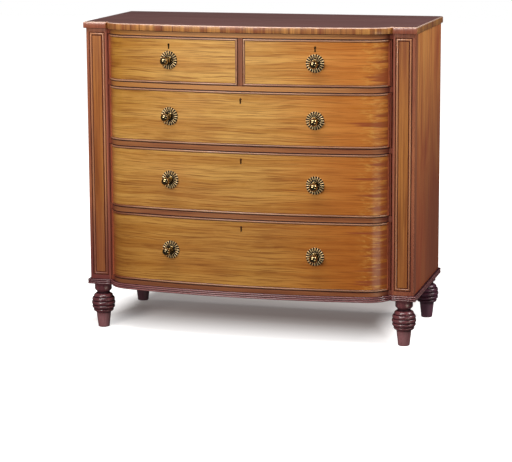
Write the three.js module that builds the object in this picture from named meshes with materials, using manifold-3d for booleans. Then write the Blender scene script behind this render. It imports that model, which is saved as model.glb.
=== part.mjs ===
// Bow front chest of drawers: two short drawers over three long ones between flat pilasters, on turned feet.
// Millimetres. X runs to the right, Y to the back and Z up. While it is built, Y is zero on the pilasters' fronts
// and Z is zero on the floor. At the end the whole chest is moved so that Y is zero at the middle of its depth.

import * as THREE from "three";
import { mergeVertices } from "three/addons/utils/BufferGeometryUtils.js";
import Module from "manifold-3d";

const wasm = await Module();
wasm.setup();

// Overall sizes of the carcase
const carcaseWidth = 1080;
const carcaseDepth = 446;
const footHeight = 148;
const mouldingHeight = 18;
const bottomRailHeight = 15;
const railHeight = 18;
const topRailHeight = 17;
const topThickness = 21;

// Heights of the drawer openings, from the floor up
const lowerOpeningHeight = 220;
const middleOpeningHeight = 199;
const upperOpeningHeight = 173;
const shortOpeningHeight = 148;

// Plan of the bow: a shallow middle arc with a tighter arc at each end that turns back to the pilasters
const bowDepth = 78;
const bowEndMargin = 9.5;
const bowEndRadius = 78;
const bowMiddleRiseShare = 0.4;
const bowMiddleSegments = 12;
const bowEndSegments = 4;

// Top board
const topSideOverhang = 6;
const topFrontOverhang = 10;
const topBowOverhang = 8;
const topArrisRadius = 5;

// Pilasters
const pilasterWidth = 72;
const pilasterDepth = 40;
const pilasterCornerRadius = 6;
const pilasterStripWidth = 9;
const pilasterCapHeight = 18;
const quirkWidth = 3;
const quirkDepth = 2.5;
const pilasterBeadWidth = 6;

// Notch where the top and the base moulding turn from the bow to the pilaster
const notchWidth = 1.5;
const notchDepth = 1.5;

// Sides, back and divider
const sideThickness = 20;
const backThickness = 10;
const backRebateWidth = 10;
const backFrameWidth = 80;
const backPanelSink = 3;
const tongueThickness = 8;
const tongueLength = 8;
const housingDepth = 6;
const dividerWidth = 15;
const dividerDepth = 34;

// Rails, runners, guides and dust boards
const railBackEdge = 30;
const railShoulderDepth = 4;
const tenonLength = 18;
const tenonThickness = 8;
const tenonFront = 10;
const tenonBack = 26;
const runnerReach = 20;
const runnerThickness = 18;
const dustBoardThickness = 8;
const dustBoardLift = 5;
const guideHeight = 20;
const centreRunnerWidth = 50;
const backRailWidth = 40;
const cornerBlockLength = 46;

// Reeded base moulding
const mouldingProjection = 8;
const reedCount = 3;
const reedSegments = 4;

// Turned feet
const footRadius = 39;
const footInset = 24;
const footSideInset = 34;
const footTenonRadius = 11;
const footTenonLength = 28;
const footSegments = 16;

// Drawer boxes
const frontThickness = 22;
const frontReturnDepth = 24;
const frontBottomGap = 1.5;
const frontTopGap = 2;
const drawerSideGap = 2.5;
const drawerSideThickness = 12;
const drawerBackThickness = 12;
const drawerBottomThickness = 8;
const drawerBottomLift = 12;
const drawerGrooveDepth = 6;
const sideDrop = 4;
const backDrop = 8;
const drawerBackGap = 8;
const lapTailLength = 14;
const tailPitch = 42;
const tailRootShare = 0.28;
const tailTipShare = 0.35;

// Cock beads round the drawer fronts
const beadWidth = 4;
const beadProjection = 1.6;

// Knobs
const knobSpread = 476;
const rosetteRadius = 30;
const rosetteThickness = 6;
const rosetteFlutes = 20;
const knobHubRadius = 10;
const knobHubHeight = 9;
const knobNeckRadius = 5.5;
const knobBallRadius = 13;
const knobReach = 52;
const knobSegments = 12;
const studRadius = 2.7;
const studHoleRadius = 3.4;
const nutRadius = 7;
const nutThickness = 5;

// Locks and keyholes
const keyholeDrop = 30;
const keyholeWidth = 4;
const keyholeHeight = 16;
const lockWidth = 56;
const lockHeight = 44;
const lockDepth = 11;
const boltWidth = 18;
const boltTailWidth = 32;
const boltThickness = 4;
const boltTailHeight = 18;
const boltHeadDrop = 14;
const boltTravel = 8;
const boltMortiseDepth = 8;

// Clearances: between pieces that meet, round a moving bolt, and the overrun of a cut past the face that it opens
const fit = 0.3;
const boltPlay = 0.5;
const overrun = 5;

// Levels and half widths that follow from the sizes
const halfWidth = carcaseWidth / 2;
const openingHalf = halfWidth - pilasterWidth;
const bowHalfWidth = openingHalf - bowEndMargin;
const lowerFloor = footHeight + mouldingHeight + bottomRailHeight;
const middleFloor = lowerFloor + lowerOpeningHeight + railHeight;
const upperFloor = middleFloor + middleOpeningHeight + railHeight;
const shortFloor = upperFloor + upperOpeningHeight + railHeight;
const topRailLow = shortFloor + shortOpeningHeight;
const carcaseTop = topRailLow + topRailHeight;
const backFace = carcaseDepth - backThickness;
const sideInner = halfWidth - sideThickness;
const runnerInner = openingHalf - runnerReach;
const railEnd = openingHalf - fit;

// Finishes: colour, roughness and metalness of each material on the chest
const finishes = {
  veneer: { color: 0xb9803f, roughness: 0.32, metalness: 0 },
  mahogany: { color: 0x9c5c33, roughness: 0.34, metalness: 0 },
  turnedWood: { color: 0x5c2f2b, roughness: 0.38, metalness: 0 },
  drawerWood: { color: 0xc7a274, roughness: 0.65, metalness: 0 },
  deal: { color: 0xa98558, roughness: 0.75, metalness: 0 },
  brass: { color: 0x8d6f38, roughness: 0.35, metalness: 1 },
  iron: { color: 0x4a4744, roughness: 0.5, metalness: 1 },
};

// Joins and cuts

// A closed three.js geometry as a solid, with its shared vertices merged.
function solidOf(geometry) {
  geometry.deleteAttribute("normal");
  geometry.deleteAttribute("uv");
  const merged = mergeVertices(geometry);
  return new wasm.Manifold(
    new wasm.Mesh({
      numProp: 3,
      vertProperties: new Float32Array(merged.attributes.position.array),
      triVerts: new Uint32Array(merged.index.array),
    }),
  );
}

function joined(solids) {
  return solids.reduce((whole, next) => whole.add(next));
}

function cut(solid, cutters) {
  return cutters.reduce((rest, cutter) => rest.subtract(cutter), solid);
}

// A named mesh from a solid, with a finish of its own.
function piece(name, solid, finish) {
  const mesh = solid.getMesh();
  const geometry = new THREE.BufferGeometry();
  geometry.setAttribute("position", new THREE.BufferAttribute(mesh.vertProperties, mesh.numProp));
  geometry.setIndex(new THREE.BufferAttribute(mesh.triVerts, 1));
  const flat = geometry.toNonIndexed();
  flat.computeVertexNormals();
  const made = new THREE.Mesh(flat, new THREE.MeshStandardMaterial(finishes[finish]));
  made.name = name;
  return made;
}

// Basic shapes

// A block between two corners, given as pairs of X, Y and Z in any order.
function block([x0, x1], [y0, y1], [z0, z1], place = new THREE.Matrix4()) {
  const geometry = new THREE.BoxGeometry(Math.abs(x1 - x0), Math.abs(y1 - y0), Math.abs(z1 - z0));
  geometry.translate((x0 + x1) / 2, (y0 + y1) / 2, (z0 + z1) / 2);
  return solidOf(geometry.applyMatrix4(place));
}

// A plan outline stood up between two levels.
function prism(points, low, high) {
  const geometry = new THREE.ExtrudeGeometry(new THREE.Shape(points), {
    depth: high - low,
    bevelEnabled: false,
  });
  return solidOf(geometry.translate(0, 0, low));
}

// An outline of Y and Z run along X between two places.
function sidePrism(points, from, to) {
  const geometry = new THREE.ExtrudeGeometry(new THREE.Shape(points), {
    depth: to - from,
    bevelEnabled: false,
  });
  const xAxis = new THREE.Vector3(1, 0, 0);
  const yAxis = new THREE.Vector3(0, 1, 0);
  const zAxis = new THREE.Vector3(0, 0, 1);
  geometry.translate(0, 0, from);
  return solidOf(geometry.applyMatrix4(new THREE.Matrix4().makeBasis(yAxis, zAxis, xAxis)));
}

// A profile of radius and height turned about Z. It starts and ends on the axis.
function turning(profile, segments) {
  return new THREE.LatheGeometry(profile, segments).rotateX(Math.PI / 2);
}

// A solid skinned over rings of points that all have the same count, with a flat cap on the first and last ring.
// The rings go anticlockwise seen from the side that the last one faces.
function loft(rings) {
  const count = rings[0].length;
  const vertices = rings.flat().flatMap((point) => [point.x, point.y, point.z]);
  const faces = [];
  for (let ring = 0; ring + 1 < rings.length; ring += 1) {
    for (let i = 0; i < count; i += 1) {
      const a = ring * count + i;
      const b = ring * count + ((i + 1) % count);
      faces.push(a, b, b + count, a, b + count, a + count);
    }
  }
  const flatRing = (ring) => ring.map((point) => new THREE.Vector2(point.x, point.y));
  const last = (rings.length - 1) * count;
  THREE.ShapeUtils.triangulateShape(flatRing(rings[0]), []).forEach(([a, b, c]) => {
    faces.push(c, b, a);
  });
  THREE.ShapeUtils.triangulateShape(flatRing(rings[rings.length - 1]), []).forEach(([a, b, c]) => {
    faces.push(last + a, last + b, last + c);
  });
  const geometry = new THREE.BufferGeometry();
  geometry.setAttribute("position", new THREE.BufferAttribute(new Float32Array(vertices), 3));
  geometry.setIndex(faces);
  return solidOf(geometry);
}

// The bow

// Works out the two arcs of the bow. The middle arc rises by a share of the depth to where the end arc takes over,
// and the end arc then turns back to meet Y zero at the bow's half width. The angle between them is found by halving.
function solveBow() {
  const rise = bowMiddleRiseShare * bowDepth;
  const endArc = (turn) => {
    const x = rise / Math.tan(turn / 2) - bowEndRadius * Math.sin(turn);
    const y = rise - bowDepth + bowEndRadius * Math.cos(turn);
    return new THREE.Vector2(x, y);
  };
  let low = 0;
  let high = Math.PI / 2;
  for (let step = 0; step < 60; step += 1) {
    const turn = (low + high) / 2;
    const centre = endArc(turn);
    const reach = centre.x + Math.sqrt(bowEndRadius ** 2 - centre.y ** 2);
    if (reach > bowHalfWidth) {
      low = turn;
    } else {
      high = turn;
    }
  }
  const middleRadius = rise / (1 - Math.cos(low));
  const centre = endArc(low);
  const endTurn = Math.atan2(bowHalfWidth - centre.x, centre.y);
  return { middleTurn: low, endTurn, middleRadius, endCentre: centre };
}

const bow = solveBow();

// The point of the bow whose outward normal is turned by an angle from straight ahead, moved outwards by an offset.
function bowPoint(turn, offset) {
  if (Math.abs(turn) <= bow.middleTurn) {
    const radius = bow.middleRadius + offset;
    return new THREE.Vector2(radius * Math.sin(turn), bow.middleRadius - bowDepth - radius * Math.cos(turn));
  }
  const radius = bowEndRadius + offset;
  const x = bow.endCentre.x + radius * Math.sin(Math.abs(turn));
  return new THREE.Vector2(Math.sign(turn) * x, bow.endCentre.y - radius * Math.cos(turn));
}

// The angle of the bow's normal at a distance from the middle that lies on the middle arc.
function bowTurnAt(x) {
  return Math.asin(x / bow.middleRadius);
}

const bowTurns = [];
for (let i = bowEndSegments; i > 0; i -= 1) {
  bowTurns.push(-bow.middleTurn - ((bow.endTurn - bow.middleTurn) * i) / bowEndSegments);
}
for (let i = 0; i <= bowMiddleSegments; i += 1) {
  bowTurns.push(bow.middleTurn * ((2 * i) / bowMiddleSegments - 1));
}
for (let i = 1; i <= bowEndSegments; i += 1) {
  bowTurns.push(bow.middleTurn + ((bow.endTurn - bow.middleTurn) * i) / bowEndSegments);
}

// Points along the bow at an offset, from one angle to a larger one.
function bowLine(offset, from = -bow.endTurn, to = bow.endTurn) {
  const inner = bowTurns.filter((turn) => turn > from && turn < to);
  return [from, ...inner, to].map((turn) => bowPoint(turn, offset));
}

// The plan of a band between two offsets of the bow.
function bowBand(inside, outside, from, to) {
  return [...bowLine(outside, from, to), ...bowLine(inside, from, to).reverse()];
}

// The place and direction of something fixed square to the bow: local Y points inwards from the bow's face.
function bowPlace(x, z) {
  const turn = bowTurnAt(x);
  const point = bowPoint(turn, 0);
  const place = new THREE.Matrix4().makeRotationZ(turn);
  return place.setPosition(point.x, point.y, z);
}

function setOnBow(mesh, x, z) {
  const turn = bowTurnAt(x);
  const point = bowPoint(turn, 0);
  mesh.position.set(point.x, point.y, z);
  mesh.rotation.z = turn;
  return mesh;
}

// The whole plan of a board or moulding that follows the bow, the notches, the pilasters and the sides.
// Each notch reaches back to a given Y. Each block's inner corner is a quarter of an ellipse, flatter where the
// block stands out less.
function carcaseOutline(bowOffset, blockOffset, sideOffset, cornerWidth, notch) {
  const blockInner = openingHalf + notchWidth;
  const cornerDepth = Math.min(cornerWidth, blockOffset + notch);
  const half = [
    new THREE.Vector2(openingHalf + notchWidth / 2, notch),
    new THREE.Vector2(blockInner, cornerDepth - blockOffset),
    new THREE.Vector2(
      blockInner + cornerWidth * (1 - Math.SQRT1_2),
      cornerDepth * (1 - Math.SQRT1_2) - blockOffset,
    ),
    new THREE.Vector2(blockInner + cornerWidth, -blockOffset),
    new THREE.Vector2(halfWidth + sideOffset, -blockOffset),
    new THREE.Vector2(halfWidth + sideOffset, carcaseDepth),
  ];
  const left = half.map((point) => new THREE.Vector2(-point.x, point.y)).reverse();
  return [...left, ...bowLine(bowOffset), ...half];
}

function raised(points, z) {
  return points.map((point) => new THREE.Vector3(point.x, point.y, z));
}

// The top board, with its upper arris rounded along the front and the sides
function topBoard() {
  const ring = (inset, z) =>
    raised(
      carcaseOutline(
        topBowOverhang - inset,
        topFrontOverhang - inset,
        topSideOverhang - inset,
        topArrisRadius / 2,
        notchDepth,
      ),
      z,
    );
  const top = carcaseTop + topThickness;
  const inset = topArrisRadius * (1 - Math.SQRT1_2);
  return piece(
    "top_board",
    loft([
      ring(0, carcaseTop),
      ring(0, top - topArrisRadius),
      ring(inset, top - inset),
      ring(topArrisRadius, top),
    ]),
    "mahogany",
  );
}

// The base moulding: three half round reeds that follow the whole front and both sides. Its notches are shallower
// outside than inside, so that it stays whole there.
function baseMoulding() {
  const reedHeight = mouldingHeight / reedCount;
  const reedDepth = reedHeight / 2;
  const section = [{ offset: fit, z: footHeight, notch: notchDepth }];
  for (let reed = 0; reed < reedCount; reed += 1) {
    for (let step = reed === 0 ? 0 : 1; step <= reedSegments; step += 1) {
      const turn = (Math.PI * step) / reedSegments;
      section.push({
        offset: mouldingProjection - reedDepth * (1 - Math.sin(turn)),
        z: footHeight + reedHeight * reed + reedDepth * (1 - Math.cos(turn)),
        notch: -notchDepth,
      });
    }
  }
  section.push({ offset: fit, z: footHeight + mouldingHeight, notch: notchDepth });
  const lines = section.map(({ offset, z, notch }) =>
    raised(carcaseOutline(offset, offset, offset, pilasterCornerRadius, notch), z),
  );
  const count = lines[0].length;
  const rows = lines.length;
  const vertices = lines.flat().flatMap((point) => [point.x, point.y, point.z]);
  const faces = [];
  for (let row = 0; row < rows; row += 1) {
    const next = (row + 1) % rows;
    for (let i = 0; i + 1 < count; i += 1) {
      const a = row * count + i;
      const b = next * count + i;
      faces.push(a, a + 1, b + 1, a, b + 1, b);
    }
  }
  const profile = section.map(({ offset, z }) => new THREE.Vector2(offset, z));
  THREE.ShapeUtils.triangulateShape(profile, []).forEach(([a, b, c]) => {
    faces.push(a * count, b * count, c * count);
    faces.push(c * count + count - 1, b * count + count - 1, a * count + count - 1);
  });
  const geometry = new THREE.BufferGeometry();
  geometry.setAttribute("position", new THREE.BufferAttribute(new Float32Array(vertices), 3));
  geometry.setIndex(faces);
  return piece("base_moulding", solidOf(geometry), "mahogany");
}

// Levels of every rail: its underside, its top and the level of its tenons
const rails = {
  base: { low: footHeight, high: lowerFloor },
  lower: { low: middleFloor - railHeight, high: middleFloor },
  middle: { low: upperFloor - railHeight, high: upperFloor },
  upper: { low: shortFloor - railHeight, high: shortFloor },
  top: { low: topRailLow, high: carcaseTop },
};

function tenonLevels({ low, high }, clearance) {
  const middle = (low + high) / 2;
  return [middle - tenonThickness / 2 - clearance, middle + tenonThickness / 2 + clearance];
}

// A pilaster, with a raised bead between two quirks round its face, and mortises for the rails and its foot
function pilaster(name, hand) {
  const inner = openingHalf;
  const corner = pilasterCornerRadius;
  const plan = [
    [inner, pilasterDepth],
    [inner, corner],
    [inner + corner * (1 - Math.SQRT1_2), corner * (1 - Math.SQRT1_2)],
    [inner + corner, 0],
    [halfWidth, 0],
    [halfWidth, pilasterDepth],
  ].map(([x, y]) => new THREE.Vector2(hand * x, y));
  const quirk = (inset) => {
    const left = inner + inset;
    const right = halfWidth - inset;
    const low = footHeight + mouldingHeight + pilasterCapHeight + inset - pilasterStripWidth;
    const high = carcaseTop - pilasterCapHeight - inset + pilasterStripWidth;
    const depth = [-overrun, quirkDepth];
    const width = [hand * left, hand * right];
    return joined([
      block([hand * left, hand * (left + quirkWidth)], depth, [low, high]),
      block([hand * (right - quirkWidth), hand * right], depth, [low, high]),
      block(width, depth, [low, low + quirkWidth]),
      block(width, depth, [high - quirkWidth, high]),
    ]);
  };
  const mortises = Object.values(rails).map((rail) =>
    block(
      [hand * (inner - overrun), hand * (inner + tenonLength)],
      [tenonFront - fit, tenonBack + fit],
      tenonLevels(rail, fit),
    ),
  );
  const tongueMiddle = halfWidth - sideThickness / 2;
  const groove = block(
    [hand * (tongueMiddle - tongueThickness / 2), hand * (tongueMiddle + tongueThickness / 2)],
    [pilasterDepth - tongueLength - fit, pilasterDepth + overrun],
    [footHeight - overrun, carcaseTop + overrun],
  );
  const solid = cut(prism(plan, footHeight, carcaseTop), [
    quirk(pilasterStripWidth),
    quirk(pilasterStripWidth + quirkWidth + pilasterBeadWidth),
    ...mortises,
    groove,
    footSocket(hand * (halfWidth - footSideInset), footInset),
  ]);
  return piece(name, solid, "mahogany");
}

// A side board, tongued into its pilaster, housed for the shelves and rebated for the back
function sideBoard(name, hand) {
  const span = [hand * sideInner, hand * halfWidth];
  const board = block(span, [pilasterDepth + fit, carcaseDepth], [footHeight, carcaseTop]);
  const tongueMiddle = halfWidth - sideThickness / 2;
  const tongueHalf = tongueThickness / 2 - fit;
  const tongue = block(
    [hand * (tongueMiddle - tongueHalf), hand * (tongueMiddle + tongueHalf)],
    [pilasterDepth - tongueLength, pilasterDepth + tongueLength],
    [footHeight, carcaseTop],
  );
  const rebate = block(
    [hand * (sideInner - overrun), hand * (sideInner + backRebateWidth)],
    [backFace, carcaseDepth + overrun],
    [footHeight - overrun, carcaseTop + overrun],
  );
  const housings = Object.values(rails).map((rail) =>
    block(
      [hand * (sideInner - overrun), hand * (sideInner + housingDepth)],
      [-overrun, carcaseDepth + overrun],
      [rail.high - runnerThickness - fit, rail.high + fit],
    ),
  );
  return piece(name, cut(board.add(tongue), [rebate, ...housings]), "mahogany");
}

// The back: framed, with two sunk panels
function backPanel() {
  const half = sideInner + backRebateWidth - fit;
  const board = block([-half, half], [backFace + fit, carcaseDepth], [footHeight, carcaseTop]);
  const sinks = [-1, 1].map((hand) =>
    block(
      [(hand * backFrameWidth) / 2, hand * (half - backFrameWidth)],
      [carcaseDepth - backPanelSink, carcaseDepth + overrun],
      [footHeight + backFrameWidth, carcaseTop - backFrameWidth],
    ),
  );
  return piece("back_panel", cut(board, sinks), "deal");
}

// A bowed rail with a tenon at each end, and a mortise over each lock bolt
function bowedRail(rail, boltPlaces) {
  const plan = [
    new THREE.Vector2(-railEnd, railBackEdge),
    new THREE.Vector2(-railEnd, railShoulderDepth),
    ...bowLine(0),
    new THREE.Vector2(railEnd, railShoulderDepth),
    new THREE.Vector2(railEnd, railBackEdge),
  ];
  const tenons = block(
    [-openingHalf - tenonLength + fit, openingHalf + tenonLength - fit],
    [tenonFront, tenonBack],
    tenonLevels(rail, 0),
  );
  const boltMiddle = frontThickness - lockDepth / 2;
  const boltHalf = boltThickness / 2 + 2 * boltPlay;
  const mortises = boltPlaces.map((x) =>
    block(
      [-boltWidth / 2 - 2 * boltPlay, boltWidth / 2 + 2 * boltPlay],
      [boltMiddle - boltHalf, boltMiddle + boltHalf],
      [-overrun, boltMortiseDepth],
      bowPlace(x, rail.low),
    ),
  );
  return cut(prism(plan, rail.low, rail.high).add(tenons), mortises);
}

// The runner along one side, which the drawer side slides on. It is housed into the side board.
function sideRunner(hand, low, high) {
  return joined([
    block([hand * runnerInner, hand * railEnd], [tenonFront, backFace - fit], [low, high]),
    block(
      [hand * runnerInner, hand * (sideInner + housingDepth - fit)],
      [pilasterDepth + fit, backFace - fit],
      [low, high],
    ),
  ]);
}

// The guide on a runner, which keeps the drawer in line behind the pilaster
function sideGuide(hand, floor) {
  return block(
    [hand * openingHalf, hand * (sideInner - fit)],
    [pilasterDepth + fit, backFace - fit],
    [floor - runnerThickness / 2, floor + guideHeight],
  );
}

// A rail with its runners, guides and dust board, glued up as one shelf under a drawer
function shelf(name, rail, boltPlaces, extras = [], cutters = []) {
  const low = rail.high - runnerThickness;
  const dustLow = low + dustBoardLift;
  const dustBoard = block(
    [-runnerInner - overrun, runnerInner + overrun],
    [railBackEdge - overrun, backFace - fit],
    [dustLow, dustLow + dustBoardThickness],
  );
  const parts = [bowedRail(rail, boltPlaces), dustBoard];
  [-1, 1].forEach((hand) => {
    parts.push(sideRunner(hand, low, rail.high), sideGuide(hand, rail.high));
  });
  return piece(name, cut(joined([...parts, ...extras]), cutters), "mahogany");
}

// The bottom shelf carries the back feet in corner blocks
function baseShelf() {
  const blocks = [-1, 1].map((hand) =>
    block(
      [hand * runnerInner, hand * (sideInner - fit)],
      [backFace - fit - cornerBlockLength, backFace - fit],
      [footHeight, lowerFloor],
    ),
  );
  const sockets = [-1, 1].map((hand) =>
    footSocket(hand * (halfWidth - footSideInset), carcaseDepth - footInset),
  );
  return shelf("base_shelf", rails.base, [], blocks, sockets);
}

// The shelf under the short drawers has a runner in the middle for their inner sides
function upperShelf() {
  const runner = block(
    [-centreRunnerWidth / 2, centreRunnerWidth / 2],
    [railBackEdge - overrun, backFace - fit],
    [shortFloor - runnerThickness, shortFloor],
  );
  return shelf("shelf_upper", rails.upper, [0], [runner]);
}

// The open frame under the top: bowed rail, side and middle kickers and a back rail
function topFrame() {
  const level = [topRailLow, carcaseTop];
  const kickers = [-1, 1].map((hand) => sideRunner(hand, topRailLow, carcaseTop));
  const middleKicker = block(
    [-centreRunnerWidth / 2, centreRunnerWidth / 2],
    [railBackEdge - overrun, backFace - fit],
    level,
  );
  const backRail = block(
    [-runnerInner - overrun, runnerInner + overrun],
    [backFace - fit - backRailWidth, backFace - fit],
    level,
  );
  const rail = bowedRail(rails.top, [-knobSpread / 2, knobSpread / 2]);
  return piece("top_frame", joined([rail, ...kickers, middleKicker, backRail]), "mahogany");
}

// The upright between the short drawers, with the guide that runs back from it
function centreDivider() {
  const turn = bowTurnAt(dividerWidth / 2);
  const front = bowLine(0, -turn, turn);
  const back = bowDepth - dividerDepth;
  const plan = [
    ...front,
    new THREE.Vector2(dividerWidth / 2, -back),
    new THREE.Vector2(-dividerWidth / 2, -back),
  ];
  const guide = block(
    [-dividerWidth / 2, dividerWidth / 2],
    [-back - overrun, backFace - fit],
    [shortFloor, shortFloor + guideHeight],
  );
  return piece("centre_divider", prism(plan, shortFloor, topRailLow).add(guide), "mahogany");
}

// Turned feet

// Shares of the foot's height and of its widest radius, from the floor up: a tapered leg, a reeded bulb,
// a neck and a collar.
const footProfileShares = [
  [0, 0.385],
  [0.02, 0.425],
  [0.236, 0.505],
  [0.318, 0.556],
  [0.351, 0.69],
  [0.385, 0.845],
  [0.429, 0.835],
  [0.47, 0.97],
  [0.511, 0.915],
  [0.568, 1],
  [0.615, 0.93],
  [0.662, 0.985],
  [0.723, 0.87],
  [0.764, 0.6],
  [0.797, 0.45],
  [0.851, 0.456],
  [0.892, 0.63],
  [0.932, 0.715],
  [0.986, 0.715],
  [1, 0.67],
];

function foot(name, x, y) {
  const profile = [new THREE.Vector2(0, 0)];
  footProfileShares.forEach(([heightShare, radiusShare]) => {
    profile.push(new THREE.Vector2(footRadius * radiusShare, footHeight * heightShare));
  });
  const tenonTop = footHeight + footTenonLength;
  profile.push(new THREE.Vector2(footTenonRadius, footHeight));
  profile.push(new THREE.Vector2(footTenonRadius, tenonTop));
  profile.push(new THREE.Vector2(0, tenonTop));
  const made = piece(name, solidOf(turning(profile, footSegments)), "turnedWood");
  made.position.set(x, y, 0);
  return made;
}

// The hole that a foot's tenon sits in. It is larger all round by the fit, also on the flats of the turning.
function footSocket(x, y) {
  const radius = footTenonRadius / Math.cos(Math.PI / footSegments) + fit;
  const top = footHeight + footTenonLength + fit;
  const profile = [
    new THREE.Vector2(0, footHeight - overrun),
    new THREE.Vector2(radius, footHeight - overrun),
    new THREE.Vector2(radius, top),
    new THREE.Vector2(0, top),
  ];
  return solidOf(turning(profile, footSegments).translate(x, y, 0));
}

// Drawers

const bodyHalf = openingHalf - drawerSideGap;
const dividerFace = dividerWidth / 2 + drawerSideGap;
const drawerBack = backFace - drawerBackGap;
const bottomLow = fit + drawerBottomLift;
const bottomHigh = bottomLow + drawerBottomThickness;

// One end of a drawer: where its side board stands, and how the front is shaped to take it. At a pilaster the front
// returns behind the bow's end, and at the divider it stops square.
function drawerEnd(hand, atPilaster) {
  const outer = atPilaster ? bodyHalf : dividerFace;
  const inwards = atPilaster ? -1 : 1;
  const turn = atPilaster ? bow.endTurn : bowTurnAt(dividerFace);
  const innerTurn = bowTurnAt(dividerFace + 2 * drawerSideThickness);
  const joint = atPilaster ? frontReturnDepth : bowPoint(innerTurn, -frontThickness).y;
  return {
    hand,
    atPilaster,
    turn: hand * turn,
    outer: hand * outer,
    inner: hand * (outer + inwards * drawerSideThickness),
    inwards: hand * inwards,
    joint,
    beadTurn: beadWidth / (atPilaster ? bowEndRadius : bow.middleRadius),
  };
}

// Heights within a drawer, measured from the floor of its opening
function drawerLevels(openingHeight) {
  const frontHigh = openingHeight - frontTopGap;
  const sideHigh = frontHigh - sideDrop;
  return {
    frontLow: frontBottomGap,
    frontHigh,
    sideLow: fit,
    sideHigh,
    backLow: bottomHigh + fit,
    backHigh: sideHigh - backDrop,
    knob: openingHeight / 2,
    keyhole: openingHeight - keyholeDrop,
  };
}

// The dovetails along one end of a side board, as outlines of Y and Z from the bottom up
function tails(root, tip, low, high, grow) {
  const count = Math.max(1, Math.round((high - low) / tailPitch));
  const pitch = (high - low) / count;
  const beyond = Math.sign(tip - root) * grow;
  return Array.from({ length: count }, (_, i) => {
    const middle = low + pitch * (i + 1 / 2);
    const rootHalf = pitch * tailRootShare + grow;
    const tipHalf = pitch * tailTipShare + grow;
    return [
      new THREE.Vector2(root, middle - rootHalf),
      new THREE.Vector2(tip + beyond, middle - tipHalf),
      new THREE.Vector2(tip + beyond, middle + tipHalf),
      new THREE.Vector2(root, middle + rootHalf),
    ];
  });
}

function frontTails(end, levels, grow) {
  return tails(end.joint, end.joint - lapTailLength, levels.backLow, levels.sideHigh, grow);
}

function backTails(levels, grow) {
  const root = drawerBack - drawerBackThickness;
  return tails(root, drawerBack, levels.backLow, levels.backHigh, grow);
}

// A drawer side, dovetailed into the front and through the back, and grooved for the bottom
function drawerSide(name, end, levels) {
  const root = drawerBack - drawerBackThickness;
  const outline = [
    new THREE.Vector2(end.joint, levels.sideLow),
    new THREE.Vector2(drawerBack, levels.sideLow),
    new THREE.Vector2(drawerBack, levels.backLow - fit),
    new THREE.Vector2(root, levels.backLow - fit),
    ...backTails(levels, 0).flat(),
    new THREE.Vector2(root, levels.backHigh + fit),
    new THREE.Vector2(drawerBack, levels.backHigh + fit),
    new THREE.Vector2(drawerBack, levels.sideHigh),
    new THREE.Vector2(end.joint, levels.sideHigh),
    ...frontTails(end, levels, 0).flat().reverse(),
  ];
  const board = sidePrism(outline, Math.min(end.inner, end.outer), Math.max(end.inner, end.outer));
  const groove = block(
    [end.inner + end.inwards * overrun, end.inner - end.inwards * drawerGrooveDepth],
    [end.joint - overrun, drawerBack + overrun],
    [bottomLow - fit, bottomHigh + fit],
  );
  return piece(name, cut(board, [groove]), "drawerWood");
}

// Cutters in the shape of a board's tails, through the full thickness of its drawer side
function tailSockets(end, outlines) {
  const inner = end.inner + end.inwards * fit;
  const outer = end.outer - end.inwards * overrun;
  return outlines.map((outline) => sidePrism(outline, Math.min(inner, outer), Math.max(inner, outer)));
}

// The plan of a drawer front: the bow outside and in, with a return behind each end that meets a pilaster
function frontPlan(left, right) {
  const inside = bowPoint(bow.endTurn, -frontThickness).x;
  const returned = (end) =>
    end.atPilaster
      ? [
          new THREE.Vector2(end.outer, railShoulderDepth / 2),
          new THREE.Vector2(end.outer, frontReturnDepth),
          new THREE.Vector2(end.hand * inside, frontReturnDepth),
        ]
      : [];
  return [
    ...bowLine(0, left.turn, right.turn),
    ...returned(right),
    ...bowLine(-frontThickness, left.turn, right.turn).reverse(),
    ...returned(left).reverse(),
  ];
}

// The cock bead round a drawer front
function cockBead(left, right, levels) {
  const whole = prism(
    bowBand(-beadProjection, beadProjection, left.turn, right.turn),
    levels.frontLow,
    levels.frontHigh,
  );
  const field = prism(
    bowBand(-overrun, overrun, left.turn + left.beadTurn, right.turn - right.beadTurn),
    levels.frontLow + beadWidth,
    levels.frontHigh - beadWidth,
  );
  return cut(whole, [field]);
}

// The groove for the bottom board in the back of a drawer front
function frontGroove(left, right) {
  const depth = drawerGrooveDepth - frontThickness;
  const level = [bottomLow - fit, bottomHigh + fit];
  const startTurn = left.atPilaster ? left.turn : bowTurnAt(left.inner);
  const endTurn = right.atPilaster ? right.turn : bowTurnAt(right.inner);
  const band = prism(bowBand(-frontThickness - overrun, depth, startTurn, endTurn), ...level);
  const returns = [left, right]
    .filter((end) => end.atPilaster)
    .map((end) => {
      const reach = bowPoint(bow.endTurn, depth);
      return block(
        [end.hand * (reach.x - drawerGrooveDepth - overrun), end.hand * reach.x],
        [reach.y, frontReturnDepth + overrun],
        level,
      );
    });
  return joined([band, ...returns]);
}

// A cutter for a keyhole: a slot with a round top, from the bow's face to the lock
function keyhole(x, z) {
  const half = keyholeWidth / 2;
  const shape = new THREE.Shape();
  shape.moveTo(-half, -keyholeHeight / 2);
  shape.lineTo(half, -keyholeHeight / 2);
  shape.lineTo(half, keyholeHeight / 2 - half);
  shape.absarc(0, keyholeHeight / 2 - half, half, 0, Math.PI);
  const geometry = new THREE.ExtrudeGeometry(shape, {
    depth: frontThickness + overrun,
    bevelEnabled: false,
    curveSegments: 4,
  });
  geometry.rotateX(Math.PI / 2);
  geometry.translate(0, frontThickness, 0);
  return solidOf(geometry.applyMatrix4(bowPlace(x, z)));
}

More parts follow.
